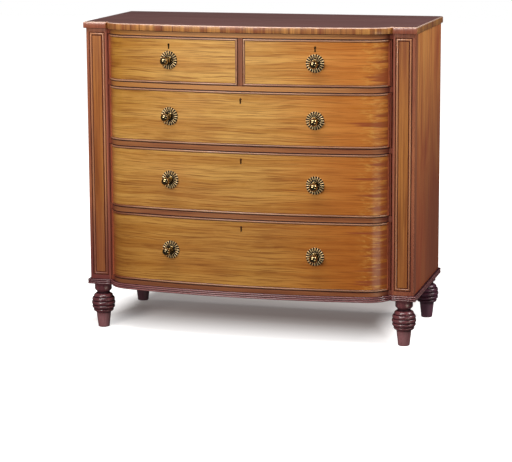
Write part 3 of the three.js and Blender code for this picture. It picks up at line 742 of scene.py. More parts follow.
def lower_left(colour: Colour) -> Tint:
    """The tint of a drawer's border low down at the left."""
    return Tint(colour, (Ramp(Along.BOW, -0.6, -0.95, most=0.9), Ramp(Along.Z, 0.75, 0.35)))


def upright(low: float, high: float) -> Tint:
    """The tint of an upright of the back's frame, from its left to its right edge.

    Args:
        low: The left edge.
        high: The right edge.

    Returns:
        The tint.
    """
    edge = 1 * MM
    inside = (Ramp(Along.X, low - edge, low + edge, most=0.45), Ramp(Along.X, high + edge, high - edge))
    return Tint(srgb(206, 158, 118), inside)


# The chest's finishes


class Finishes:
    """Every finish on the chest."""

    front = FrontVeneer(
        "figured_front_veneer",
        Tones.read((228, 177, 97), (190, 129, 55), (136, 76, 28), (186, 114, 52)),
        bands=0.75, streaks=0.38, threads=0.8, pores=0.55, mottle=0.3, sway=13 * MM, roughness=0.32,
        gloss=0.25, coat=0.2, end_red_and_shade=srgb(150, 70, 42), tongue_reach=1.15,
        tints=(
            Tint(srgb(204, 148, 74), (Ramp(Along.BOW, 0.1, 0.7, most=0.4),)),
            # painted shade: the veneer darkens towards the bottom, where less light reaches
            Tint((0.72, 0.58, 0.38), (Ramp(Along.Z, 0.8, 0.2, most=0.75),), Blend.MULTIPLY),
            flame(0.85),
            FOOT_SHADE,
            LEFT_END_PAINTED_SHADE,
            # painted highlight: pale golden flecks near the right end, where a light's reflection falls on
            # the bow's turn
            Tint(
                srgb(222, 164, 80),
                (Ramp(Along.BOW, 0.74, 0.87, most=0.55), Ramp(Along.BOW, 0.99, 0.93)),
                pattern=PAINTED_HIGHLIGHT_FLECKS,
            ),
        ),
    )
    rail = FrontVeneer(
        "cross_cut_rail_veneer",
        Tones.read((186, 128, 82), (154, 94, 60), (104, 56, 36), (140, 78, 56)),
        streaks=0.6, clouds=0.8, gloss=0.25, coat=0.0, end_red_and_shade=srgb(104, 44, 42),
        tints=(
            # the rail darkens towards the bottom, painted shade where less light reaches, and turns purpler
            # in tone
            Tint((0.68, 0.55, 0.62), (Ramp(Along.Z, 0.8, 0.2, most=0.7),), Blend.MULTIPLY),
            flame(0.25),
            FOOT_SHADE,
            Tint(
                srgb(204, 144, 86),
                (Ramp(Along.Z, 0.72, 0.82, most=0.75), Ramp(Along.BOW, 1.0, 0.4, broken=0.7)),
            ),
            LEFT_END_PAINTED_SHADE,
        ),
    )
    stile = Wood(
        "divider_veneer",
        Tones.read((152, 94, 64), (132, 76, 52), (92, 48, 34), (116, 62, 48)),
        gloss=0.25,
    )
    banding = Wood(
        "crossbanded_edge",
        Tones.read((208, 146, 78), (148, 82, 48), (84, 38, 26), (138, 64, 46)),
        bands=1.0, streaks=0.75, clouds=0.8, sway=1 * MM, fineness=1.3,
    )
    block_edge = Wood(
        "polished_block_edge",
        Tones.read((168, 98, 72), (146, 78, 60), (94, 44, 36), (126, 62, 54)),
        roughness=0.24, coat=0.8,
    )
    # painted highlight: the arris is much paler than the edge below it, standing for the light's sheen along
    # its round
    arris = Wood(
        "arris_with_painted_highlight",
        Tones.read((240, 208, 188), (224, 180, 158), (176, 118, 92), (208, 152, 136)),
        roughness=0.2, coat=1.0,
    )
    top = Wood(
        "dark_polished_top",
        Tones.read((122, 85, 81), (106, 72, 70), (88, 54, 55), (106, 69, 73)),
        grain=Grain.ALONG_X, roughness=0.4, coat=0.1,
    )
    pilaster = Wood(
        "straight_grained_pilaster",
        Tones.read((188, 122, 60), (162, 94, 44), (104, 48, 26), (118, 54, 46)),
        bands=1.0, streaks=0.6, gloss=0.3, coat=0.1, sway=1.5 * MM,
        tints=(reddened(srgb(118, 54, 46), 0.12, 0.45),),
    )
    strip = Wood(
        "pilaster_margin",
        Tones.read((182, 112, 76), (156, 86, 62), (106, 50, 38), (112, 50, 54)),
        clouds=0.25, gloss=0.3, coat=0.05, sway=1.5 * MM,
        tints=(reddened(srgb(112, 50, 54), 0.25, 0.85),),
    )
    corner = Wood(
        "dull_corner_beside_drawers",
        Tones.read((162, 94, 76), (140, 74, 60), (96, 48, 40), (122, 60, 54)),
        roughness=0.5, gloss=0.15, coat=0.0,
    )
    # painted shade: the quirks beside the pilasters' beads are dark where shade falls in them
    quirk = Wood(
        "quirk_in_painted_shade",
        Tones.read((108, 50, 38), (88, 38, 30), (58, 24, 20), (76, 32, 28)),
        roughness=0.5, coat=0.0, gloss=0.15,
    )
    # painted shade: a dark line beside the cock bead, where the bead's foot would be in shade
    painted_shade_line = Wood(
        "painted_shade_line_beside_bead",
        Tones.read((92, 50, 34), (72, 36, 26), (46, 22, 18), (62, 30, 24)),
        roughness=0.35, gloss=0.3, coat=0.0,
        tints=(lower_left(srgb(116, 54, 28)),),
    )
    # painted highlight: the bead is paler than the panel, standing for the sheen along its round top
    pilaster_bead_painted_highlight = Wood(
        "pilaster_bead_with_painted_highlight",
        Tones.read((206, 142, 98), (184, 116, 78), (130, 74, 50), (126, 62, 52)),
        clouds=0.1, roughness=0.28, coat=0.4,
        tints=(reddened(srgb(126, 62, 52), 0.35, 0.8),),
    )
    side = Wood(
        "polished_side_board",
        Tones.read((255, 178, 94), (232, 140, 70), (140, 64, 40), (172, 74, 46)),
        grain=Grain.ALONG_Z, bands=0.9, streaks=0.65, threads=0.35, clouds=0.8, sway=3 * MM, fineness=0.6,
        roughness=0.36,
        tints=(
            # painted shade: the side darkens and reddens towards the bottom, and lower down darkens towards
            # the back
            Tint(srgb(172, 74, 46), (Ramp(Along.Z, 1.0, 0.3, most=0.75, broken=0.3),)),
            Tint(
                (0.1, 0.03, 0.02),
                (Ramp(Along.Y, -0.125, 0.175, broken=0.25), Ramp(Along.Z, 0.95, 0.35, most=0.45)),
            ),
        ),
    )
    moulding = Wood(
        "reeded_base_moulding",
        Tones.read((166, 106, 104), (132, 72, 74), (82, 38, 44), (106, 52, 60)),
        roughness=0.3, coat=0.7, relief=0.02,
    )
    # painted shade: a darker copy of the moulding under the left pilaster, with a duller polish too
    dull_moulding_in_painted_shade = Wood(
        "dull_moulding_under_left_pilaster",
        Tones.read((124, 72, 76), (98, 50, 56), (62, 28, 36), (80, 38, 46)),
        roughness=0.34, coat=0.4, relief=0.02,
    )
    # painted shade: dark in the moulding's grooves, in the feet's quirks and cove, and along the rails' edges
    groove = Wood(
        "painted_shade_in_grooves",
        Tones.read((64, 28, 38), (52, 20, 30), (34, 12, 20), (44, 16, 28)),
        grain=Grain.ALONG_Z, roughness=0.5, gloss=0.2, coat=0.0,
    )
    # painted highlight: the bead is paler and greyer than the rails, standing for the sheen along its round
    # top
    bead = Wood(
        "cock_bead_with_painted_highlight",
        Tones.read((196, 146, 112), (172, 114, 82), (112, 60, 40), (142, 84, 64)),
        roughness=0.28, gloss=0.35, coat=0.5,
        tints=(lower_left(srgb(112, 50, 28)),),
    )
    # painted shade: the bead is darker and duller where the front's ends meet the pilasters
    end_bead_in_painted_shade = Wood(
        "bead_in_painted_shade_beside_pilaster",
        Tones.read((184, 98, 62), (160, 80, 52), (112, 52, 38), (140, 68, 52)),
        roughness=0.6, gloss=0.15, coat=0.0,
    )
    turned = TurnedWood(
        "turned_dark_mahogany",
        Tones.read((126, 70, 74), (98, 48, 56), (56, 25, 33), (86, 40, 52)),
        grain=Grain.ALONG_Z, roughness=0.28, coat=0.8, relief=0.02, leg=srgb(168, 114, 117),
    )
    # painted shade: a darker, purpler copy of the turned wood for the foot behind, under the chest
    turned_in_painted_shade_behind = TurnedWood(
        "turned_mahogany_in_painted_shade_behind",
        Tones.read((116, 64, 86), (90, 46, 66), (54, 26, 40), (76, 36, 56)),
        grain=Grain.ALONG_Z, roughness=0.34, coat=0.5, relief=0.02, leg=srgb(132, 84, 104),
    )
    turned_shade = TurnedWood(
        "turned_mahogany_in_shade",
        Tones.read((74, 38, 46), (54, 25, 34), (32, 14, 20), (46, 20, 30)),
        grain=Grain.ALONG_Z, roughness=0.34, coat=0.4, relief=0.02, leg=srgb(84, 48, 56),
    )
    carcase = Wood(
        "carcase_mahogany",
        Tones.read((168, 104, 64), (144, 80, 50), (98, 48, 32), (118, 54, 40)),
        grain=Grain.ALONG_X, gloss=0.2, coat=0.0,
        tints=(
            # painted shade: the CAD fronts' and rails' flat ends beside the pilasters are darkened, where
            # shade falls in the corner
            Tint(
                srgb(132, 66, 50),
                (
                    Ramp(Along.X, 457 * MM, 458 * MM, most=0.95, even=True),
                    Ramp(Along.Y, FRONT_Y + 9 * MM, FRONT_Y + 7 * MM),
                ),
            ),
        ),
    )
    lining = Wood(
        "bare_oak_lining",
        Tones.read((214, 182, 134), (196, 160, 112), (146, 108, 68), (180, 138, 92)),
        grain=Grain.ALONG_Y, roughness=0.6, coat=0.0, pores=0.7,
    )
    lining_across = Wood(
        "bare_oak_board",
        Tones.read((210, 176, 128), (190, 152, 104), (142, 104, 66), (176, 134, 90)),
        grain=Grain.ALONG_X, roughness=0.6, coat=0.0, pores=0.7,
    )
    pine = Wood(
        "bare_pine_back",
        Tones.read((226, 184, 142), (206, 158, 118), (148, 102, 72), (182, 130, 96)),
        grain=Grain.ALONG_X, bands=0.5, streaks=0.3, clouds=0.4, sway=2 * MM, roughness=0.7, coat=0.0,
        tints=(
            upright(-540 * MM, -460 * MM),
            upright(-35 * MM, 35 * MM),
            upright(460 * MM, 540 * MM),
            Tint(srgb(148, 102, 72), (Ramp(Along.Z, 0.475, 0.125, most=0.35, broken=0.25),)),
        ),
    )
    brass = Brass(
        "rubbed_brass", bright=srgb(170, 146, 96), dull=srgb(84, 66, 42), roughness=0.12, lacquer=1.0,
    )
    # painted reflection: the petals are pale cream and little metallic, standing for the bright room that
    # brass would mirror
    petal_brass = Brass(
        "petal_brass_painted_reflection", bright=srgb(255, 222, 160), dull=srgb(248, 196, 128), roughness=0.3,
        metal=0.35, lacquer=1.0,
    )
    patina = Brass(
        "dark_patina_brass", bright=srgb(30, 12, 6), dull=srgb(14, 6, 4), roughness=0.8, metal=0.0,
        lacquer=0.0,
    )
    iron = Brass("forged_iron", bright=srgb(92, 88, 84), dull=srgb(56, 52, 48), roughness=0.5)


# Shaping


def arc(centre: Point, radii: Point, start: float, end: float, steps: int) -> list[Point]:
    """Points along part of an ellipse.

    Args:
        centre: Its centre.
        radii: Its reach along the first and the second coordinate.
        start: The first angle in radians, from the first coordinate towards the second.
        end: The last angle.
        steps: How many straights join the points.

    Returns:
        The points, from the first angle to the last.
    """
    angles = [start + (end - start) * i / steps for i in range(steps + 1)]
    return [
        (centre[0] + radii[0] * math.cos(angle), centre[1] + radii[1] * math.sin(angle)) for angle in angles
    ]


def axes(first: Vector, second: Vector, third: Vector, origin: Vector) -> Matrix:
    """A matrix that takes its own axes and zero to given ones.

    Args:
        first: Where its X axis goes, with its scale.
        second: Where its Y axis goes.
        third: Where its Z axis goes.
        origin: Where its zero goes.

    Returns:
        The matrix.
    """
    matrix = Matrix.Identity(4)
    for column, vector in enumerate((first, second, third, origin)):
        matrix[0][column], matrix[1][column], matrix[2][column] = vector
    return matrix


def station(origin: Vector, across: Vector, outward: Vector) -> Matrix:
    """Where a profile stands, with its first coordinate running across and its second outward."""
    return axes(across, outward, across.cross(outward), origin)


def corners_of(edges: Iterable[Edge]) -> list[bmesh.types.BMVert]:
    """The corners that edges join, each once."""
    return list(dict.fromkeys(vert for edge in edges for vert in edge.verts))


def paint(piece: bpy.types.Object, finishes: Sequence[Finish], choose: Callable[[Face], int]) -> None:
    """Adds finishes to a piece and gives each of its faces one of them.

    Args:
        piece: The piece, which has a finish already.
        finishes: The further finishes.
        choose: Gives the number of a face's finish: 0 for the first one, and 1 and on for the further ones.
    """
    for finish in finishes:
        piece.data.materials.append(finish.material())
    for face in piece.data.polygons:
        face.material_index = choose(face)


class Form:
    """A mesh that is shaped with bmesh operators and ends as one piece of the chest."""

    def __init__(self) -> None:
        """Starts an empty mesh."""
        self.bm = bmesh.new()

    def ring(self, points: Iterable[Vector], closed: bool = True) -> list[Edge]:
        """Sets out a line of points joined by edges.

        Args:
            points: The places, in order.
            closed: Whether the last one joins the first.

        Returns:
            The edges.
        """
        verts = [self.bm.verts.new(point) for point in points]
        ends = verts[1:] + verts[:1] if closed else verts[1:]
        return [self.bm.edges.new(pair) for pair in zip(verts, ends)]

    def skin(self, rings: Sequence[list[Edge]]) -> None:
        """Bridges each ring to the next and fills the first and the last.

        Args:
            rings: Edge loops of equal length.
        """
        for low, high in zip(rings, rings[1:]):
            bmesh.ops.bridge_loops(self.bm, edges=low + high)
        for end in (rings[0], rings[-1]):
            bmesh.ops.contextual_create(self.bm, geom=end)

    def turn(self, profile: Iterable[Point], centre: Vector, steps: int, merge: float = NEAR) -> None:
        """Turns an upright section all round, as on a lathe.

        Args:
            profile: Radius and height in millimetres, from end to end.
            centre: Where the axis meets height zero.
            steps: How many faces go round.
            merge: Corners closer than this are one, in metres.
        """
        edges = self.ring((centre + Vector((r * MM, 0.0, h * MM)) for r, h in profile), closed=False)
        bmesh.ops.spin(
            self.bm, geom=[*corners_of(edges), *edges], cent=centre, axis=UP, angle=math.tau, steps=steps,
            use_merge=True, use_duplicate=False,
        )
        bmesh.ops.remove_doubles(self.bm, verts=self.bm.verts, dist=merge)

    def pull(self, edges: Sequence[Edge], way: Vector) -> None:
        """Draws a wall out of edges.

        Args:
            edges: The edges.
            way: How far and where the wall runs.
        """
        found = bmesh.ops.extrude_edge_only(self.bm, edges=edges)["geom"]
        moved = [item for item in found if isinstance(item, bmesh.types.BMVert)]
        bmesh.ops.translate(self.bm, verts=moved, vec=way)

    def rim(self) -> list[Edge]:
        """The edges with a face on one side only."""
        return [edge for edge in self.bm.edges if edge.is_boundary]

    def map_grain(self, mapper: Callable[[Vector], Point], layer: str = GRAIN_MAP) -> None:
        """Writes a UV map from the places of the corners.

        Args:
            mapper: Gives along and across the grain, in metres, for a place.
            layer: The map's name.
        """
        uv = self.bm.loops.layers.uv.get(layer) or self.bm.loops.layers.uv.new(layer)
        for face in self.bm.faces:
            for loop in face.loops:
                loop[uv].uv = mapper(loop.vert.co)

    def release(self, name: str) -> bpy.types.Object:
        """Hands the mesh over to a new object in the scene.

        Args:
            name: The object's name.

        Returns:
            The object.
        """
        mesh = bpy.data.meshes.new(name)
        self.bm.to_mesh(mesh)
        self.bm.free()
        made = bpy.data.objects.new(name, mesh)
        bpy.context.scene.collection.objects.link(made)
        return made

    def piece(
        self, name: str, body: str, finish: Finish, slot: Slot, smooth: float = 35, merge: float = NEAR
    ) -> bpy.types.Object:
        """Closes the mesh and makes it a piece that rides on a body.

        Args:
            name: The piece's name.
            body: The CAD body that it moves with.
            finish: Its finish.
            slot: The record's material slot; not used.
            smooth: Edges that turn by less than this many degrees are shaded round.
            merge: Corners closer than this are one.

        Returns:
            The object.
        """
        bmesh.ops.remove_doubles(self.bm, verts=self.bm.verts, dist=merge)
        bmesh.ops.recalc_face_normals(self.bm, faces=self.bm.faces)
        limit = math.radians(smooth)
        for face in self.bm.faces:
            face.smooth = True
        for edge in self.bm.edges:
            edge.smooth = len(edge.link_faces) == 2 and edge.calc_face_angle(math.pi) < limit
        made = self.release(name)
        made.data.materials.append(finish.material())
        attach(made, body)
        LOG.info("%s: %d faces", name, len(made.data.polygons))
        return made


class Sweep:
    """A profile that is carried along straights and arcs, and leaves its surface behind."""

    def __init__(self, form: Form, profile: Sequence[Point], start: Matrix, closed: bool = True) -> None:
        """Sets the profile at its first station.

        Args:
            form: The mesh that it is part of.
            profile: Points across and outward.
            start: The first station.
            closed: Whether the profile's last point joins its first.
        """
        self.form = form
        self.edges = form.ring((start @ Vector((a, b, 0.0)) for a, b in profile), closed)
        self.first = list(self.edges)
        self.matrix = start

    def go(self, matrix: Matrix) -> "Sweep":
        """Runs straight to another station.

        Args:
            matrix: The station.

        Returns:
            The sweep itself.
        """
        old = set(corners_of(self.edges))
        found = bmesh.ops.extrude_edge_only(self.form.bm, edges=self.edges)["geom"]
        new = [item for item in found if isinstance(item, Edge)]
        self.edges = [edge for edge in new if old.isdisjoint(edge.verts)]
        verts = corners_of(self.edges)
        bmesh.ops.transform(self.form.bm, matrix=matrix @ self.matrix.inverted(), verts=verts)
        self.matrix = matrix
        return self

    def turn(self, centre: Vector, angle: float, steps: int) -> "Sweep":
        """Turns about an upright line.

        Args:
            centre: A point on the line.
            angle: How far, in radians, anticlockwise seen from above.
            steps: How many straights the arc has.

        Returns:
            The sweep itself.
        """
        found = bmesh.ops.spin(
            self.form.bm, geom=[*corners_of(self.edges), *self.edges], cent=centre, axis=UP, angle=angle,
            steps=steps, use_duplicate=False,
        )
        self.edges = [item for item in found["geom_last"] if isinstance(item, Edge)]
        turned = Matrix.Translation(centre) @ Matrix.Rotation(angle, 4, "Z") @ Matrix.Translation(-centre)
        self.matrix = turned @ self.matrix
        return self

    def cap(self) -> None:
        """Fills both ends of the swept surface."""
        for end in (self.first, self.edges):
            bmesh.ops.contextual_create(self.form.bm, geom=end)


@dataclass(frozen=True)
class BowPlan:
    """The plan of the bowed front: a shallow middle arc between two tight ones that turn back at the ends.

    Turns are the angles of the face's normal, from straight ahead to the right.
    """

    depth: float = 78 * MM
    half_width: float = 458.5 * MM
    end_radius: float = 78 * MM
    rise_share: float = 0.4
    halvings: int = 60
    middle_step: float = math.radians(0.5)
    end_step: float = math.radians(4)

    def end_centre_for(self, turn: float) -> Point:
        """Where the end arc is centred if the middle arc stops at an angle.

        Args:
            turn: The angle.

        Returns:
            The place across from the middle and back from the pilasters' plane.
        """
        rise = self.rise_share * self.depth
        x = rise / math.tan(turn / 2) - self.end_radius * math.sin(turn)
        y = rise - self.depth + self.end_radius * math.cos(turn)
        return x, y

    @cached_property
    def middle_turn(self) -> float:
        """The angle at which the middle arc meets the end arc, so that the bow is as wide as it should be.

        Returns:
            The angle in radians.
        """
        low, high = 0.0, math.pi / 2
        for _ in range(self.halvings):
            turn = (low + high) / 2
            x, y = self.end_centre_for(turn)
            if x + math.sqrt(self.end_radius**2 - y**2) > self.half_width:
                low = turn
            else:
                high = turn
        return low

    @cached_property
    def middle_radius(self) -> float:
        """The radius of the middle arc."""
        return self.rise_share * self.depth / (1 - math.cos(self.middle_turn))

    @cached_property
    def end_centre(self) -> Point:
        """The centre of the right end arc: across from the middle, and back from the pilasters' plane."""
        return self.end_centre_for(self.middle_turn)

    @property
    def end_turn(self) -> float:
        """The angle of the face's normal where the bow meets the pilaster's plane."""
        return math.atan2(self.half_width - self.end_centre[0], self.end_centre[1])

    @cached_property
    def half_length(self) -> float:
        """The length of the bow from its middle to one end."""
        return self.along(self.point(self.end_turn))

    def arc_at(self, turn: float) -> tuple[Vector, float]:
        """The arc that holds an angle.

        Args:
            turn: The angle.

        Returns:
            The arc's centre and its radius.
        """
        if abs(turn) <= self.middle_turn:
            return Vector((0.0, FRONT_Y + self.middle_radius - self.depth, 0.0)), self.middle_radius
        x, y = self.end_centre
        return Vector((math.copysign(x, turn), FRONT_Y + y, 0.0)), self.end_radius

    def turn_at(self, x: float) -> float:
        """The angle of the face's normal at a distance from the middle."""
        return math.asin(x / self.middle_radius)

    def normal(self, turn: float) -> Vector:
        """The outward direction at an angle."""
        return Vector((math.sin(turn), -math.cos(turn), 0.0))

    def tangent(self, turn: float) -> Vector:
        """The direction along the face to the right."""
        return Vector((math.cos(turn), math.sin(turn), 0.0))

    def point(self, turn: float, offset: float = 0.0, z: float = 0.0) -> Vector:
        """A point of the bow.

        Args:
            turn: The angle of the normal there.
            offset: How far outside the face it lies.
            z: Its height.

        Returns:
            The point.
        """
        centre, radius = self.arc_at(turn)
        return centre + self.normal(turn) * (radius + offset) + UP * z

    def along(self, place: Vector) -> float:
        """How far along the face a place lies, from the middle to the right.

        Args:
            place: Any place near the face.

        Returns:
            The length of the arc.
        """
        flat = Vector((place.x, place.y, 0.0))
        from_middle = flat - self.arc_at(0.0)[0]
        turn = math.atan2(from_middle.x, -from_middle.y)
        if abs(turn) <= self.middle_turn:
            return self.middle_radius * turn
        from_end = flat - self.arc_at(turn)[0]
        beyond = math.atan2(abs(from_end.x), -from_end.y) - self.middle_turn
        length = self.middle_radius * self.middle_turn + self.end_radius * beyond
        return math.copysign(length, turn)

    def share(self, place: Vector) -> Point:
        """Where a place lies on the front: -1 to 1 from end to end of the bow, and its height in metres."""
        return self.along(place) / self.half_length, place.z

    def station(self, turn: float, z: float, across: Vector = UP) -> Matrix:
        """The station of a profile on the face."""
        return station(self.point(turn, 0.0, z), across, self.normal(turn))

    def mount(self, x: float, z: float, height: float = 0.0) -> Matrix:
        """The axes of something that is fixed to the face, with X along it, Y up and Z out.

        Args:
            x: How far it lies from the middle.
            z: Its height from the floor.
            height: How far outside the face its zero lies.

        Returns:
            The matrix.
        """
        turn = self.turn_at(x)
        return station(self.point(turn, height, z), self.tangent(turn), UP)

    def legs(self, start: float, end: float) -> list[tuple[float, float, int]]:
        """The arcs that lie between two angles.

        Args:
            start: The angle to start from.
            end: The angle to go to.

        Returns:
            The first and the last angle of each, and how many straights make it up.
        """
        low, high = min(start, end), max(start, end)
        joints = [turn for turn in (-self.middle_turn, self.middle_turn) if low < turn < high]
        stops = sorted([start, *joints, end], reverse=end < start)
        legs = []
        for here, there in zip(stops, stops[1:]):
            step = self.middle_step if abs(here + there) / 2 < self.middle_turn else self.end_step
            legs.append((here, there, max(1, round(abs(there - here) / step))))
        return legs

    def follow(self, sweep: Sweep, start: float, end: float) -> Sweep:
        """Carries a sweep along the face from one angle to another.

        Args:
            sweep: The sweep, which stands at the start.
            start: The angle that it stands at.
            end: The angle to go to.

        Returns:
            The sweep.
        """
        for here, there, count in self.legs(start, end):
            sweep.turn(self.arc_at((here + there) / 2)[0], there - here, count)
        return sweep

    def line(self, offset: float, start: float, end: float) -> list[Vector]:
        """Points along the face at an offset.

        Args:
            offset: How far outside the face they lie.
            start: The angle of the first.
            end: The angle of the last.

        Returns:
            The points.
        """
        turns = [
            here + (there - here) * i / count
            for here, there, count in self.legs(start, end)
            for i in range(count)
        ]
        return [self.point(turn, offset) for turn in [*turns, end]]


BOW = BowPlan()


@dataclass(frozen=True)
class Carcase:
    """The sizes of the carcase that its new pieces share. A rail has its lower and its upper edge."""

    body: str = "carcase"
    half_width: float = 540 * MM
    opening_half: float = 468 * MM
    depth: float = 446 * MM
    foot_height: float = 148 * MM
    moulding_height: float = 18 * MM
    top_low: float = 992 * MM
    top_thickness: float = 21 * MM
    rails: tuple[tuple[str, float, float], ...] = (
        ("base", 148 * MM, 181 * MM),
        ("lower", 401 * MM, 419 * MM),
        ("middle", 618 * MM, 636 * MM),
        ("upper", 809 * MM, 827 * MM),
        ("top", 975 * MM, 992 * MM),
    )


CARCASE = Carcase()


# Pieces of the carcase


@dataclass
class TopBoard:
    """The top board, with a round upper arris and a cross-cut edge."""

    bow_overhang: float = 8 * MM
    block_overhang: float = 10 * MM
    side_overhang: float = 6 * MM
    notch: float = 1.5 * MM
    notch_gap: float = 0.4 * MM
    notch_follow: float = 0.2
    block_gap: float = 1.5 * MM
    corner: float = 2.5 * MM
    corner_steps: int = 4
    arris: float = 5 * MM
    arris_steps: int = 6
    under_arris: float = 1.5 * MM
    under_share: float = 0.3
    band_share: float = 0.6
    level: float = 0.99
    sideways: float = 0.8

    def rings(self) -> list[Point]:
        """The levels of the edge.

        Returns:
            How far each is set in, and its height, from the bottom up.
        """
        low, high = CARCASE.top_low, CARCASE.top_low + CARCASE.top_thickness
        under, cut, size = self.under_arris, self.under_share * self.under_arris, self.arris
        upper = arc((size, high - size), (-size, size), 0.0, math.pi / 2, self.arris_steps)
        return [(under, low), (cut, low + cut), (0.0, low + under), *upper]

    def outline(self, inset: float) -> list[Vector]:
        """The board's plan: bow, notches, square breaks over the pilasters, sides and back.

        Args:
            inset: How far inside the board's widest plan it runs.

        Returns:
            The points at height zero, from the back left round the front to the back right.
        """
        front = FRONT_Y - self.block_overhang + inset
        side = CARCASE.half_width + self.side_overhang - inset
        centre = (CARCASE.opening_half + self.block_gap + self.corner, front + self.corner)
        spots = [
            (CARCASE.opening_half + self.notch_gap, FRONT_Y + self.notch + self.notch_follow * inset),
            *arc(centre, (-self.corner, -self.corner), 0.0, math.pi / 2, self.corner_steps),
            (side, front),
            (side, FRONT_Y + CARCASE.depth),
        ]
        left = [Vector((-x, y, 0.0)) for x, y in reversed(spots)]
        right = [Vector((x, y, 0.0)) for x, y in spots]
        return [*left, *BOW.line(self.bow_overhang - inset, -BOW.end_turn, BOW.end_turn), *right]

    def choose(self, face: Face) -> int:
        """Which finish a face takes: polished top, crossbanded edge, arris with a painted highlight, or block
        edge.

        Args:
            face: The face.

        Returns:
            The number of the finish.
        """
        middle, normal = face.center, face.normal
        if abs(normal.z) >= self.level or middle.y >= FRONT_Y + CARCASE.depth - SLACK:
            return 0
        if middle.z > CARCASE.top_low + CARCASE.top_thickness - self.band_share * self.arris:
            return 2
        return 3 if abs(middle.x) > CARCASE.opening_half and abs(normal.x) < self.sideways else 1

    def build(self) -> None:
        """Makes the board in place of its node."""
        form = Form()
        form.skin([form.ring(point + UP * z for point in self.outline(inset)) for inset, z in self.rings()])
        form.map_grain(lambda p: (p.z, BOW.along(p) if abs(p.x) < CARCASE.opening_half else p.x + p.y))
        board = form.piece("top_board_shaped", CARCASE.body, Finishes.top, Slot.CARCASE)
        paint(board, (Finishes.banding, Finishes.arris, Finishes.block_edge), self.choose)
        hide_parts("top_board")


@dataclass
class BaseMoulding:
    """The moulding of three half round reeds along the sides and the whole front.

    The block's stops give, for the right pilaster's foot from the side to the notch, a place across from the
    middle and behind the pilasters' fronts, and the way out of it.
    """

    projection: float = 8 * MM
    reeds: int = 3
    reed_steps: int = 8
    groove: float = 0.9 * MM
    groove_slope: float = 0.5
    back: float = 0.3 * MM
    map_lean: float = 0.4
    dull_from: float = 468 * MM
    block_stops: tuple[tuple[Point, Point], ...] = (
        ((CARCASE.half_width, CARCASE.depth), (1.0, 0.0)),
        ((CARCASE.half_width, 0.0), (1.0, -1.0)),
        ((476.0 * MM, 0.0), (0.0, -1.0)),
        ((473.2 * MM, 0.2 * MM), (-0.03, -0.99)),
        ((471.2 * MM, 0.9 * MM), (-0.1, -0.93)),
        ((469.8 * MM, 1.8 * MM), (-0.1, -0.8)),
        ((468.7 * MM, 2.9 * MM), (0.0, -0.52)),
    )

    @property
    def reed(self) -> float:
        """The height of one reed."""
        return CARCASE.moulding_height / self.reeds

    def profile(self) -> list[Point]:
        """The section: height, and distance out from the carcase.

        Returns:
            The points, each once.
        """
        radius = self.reed / 2
        points = [(0.0, self.back)]
        for number in range(self.reeds):
            centre = (self.reed * number + radius, self.projection - radius)
            round_face = arc(centre, (-radius, radius), 0.0, math.pi, self.reed_steps)
            points += round_face[1:] if number else round_face
        return [*points, (CARCASE.moulding_height, self.back)]

    def block_stations(self, hand: int) -> list[Matrix]:
        """Stations round one pilaster's foot, from the side to the notch.

        Args:
            hand: -1 at the left and 1 at the right.

        Returns:
            The stations.
        """
        return [
            station(Vector((hand * x, FRONT_Y + y, CARCASE.foot_height)), UP, Vector((hand * a, b, 0.0)))
            for (x, y), (a, b) in self.block_stops
        ]

    def choose(self, face: Face) -> int:
        """Which finish a face takes: polished reed, painted shade in a groove, or a darker copy in painted
        shade under the left pilaster.

        Args:
            face: The face.

        Returns:
            The number of the finish.
        """
        place = (face.center.z - CARCASE.foot_height) / self.reed
        if abs(place - round(place)) * self.reed < self.groove and abs(face.normal.z) > self.groove_slope:
            return 1
        return 2 if face.center.x < -self.dull_from else 0

    def build(self) -> None:
        """Makes the moulding in place of its node."""
        form = Form()
        left, right = self.block_stations(-1), self.block_stations(1)
        sweep = Sweep(form, self.profile(), left[0])
        for stop in [*left[1:], BOW.station(-BOW.end_turn, CARCASE.foot_height)]:
            sweep.go(stop)
        BOW.follow(sweep, -BOW.end_turn, BOW.end_turn)
        for stop in reversed(right):
            sweep.go(stop)
        sweep.cap()
        form.map_grain(lambda p: (p.x + p.y, p.z + self.map_lean * p.y))
        piece = form.piece("base_moulding_shaped", CARCASE.body, Finishes.moulding, Slot.CARCASE, smooth=50)
        paint(piece, (Finishes.groove, Finishes.dull_moulding_in_painted_shade), self.choose)
        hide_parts("base_moulding")


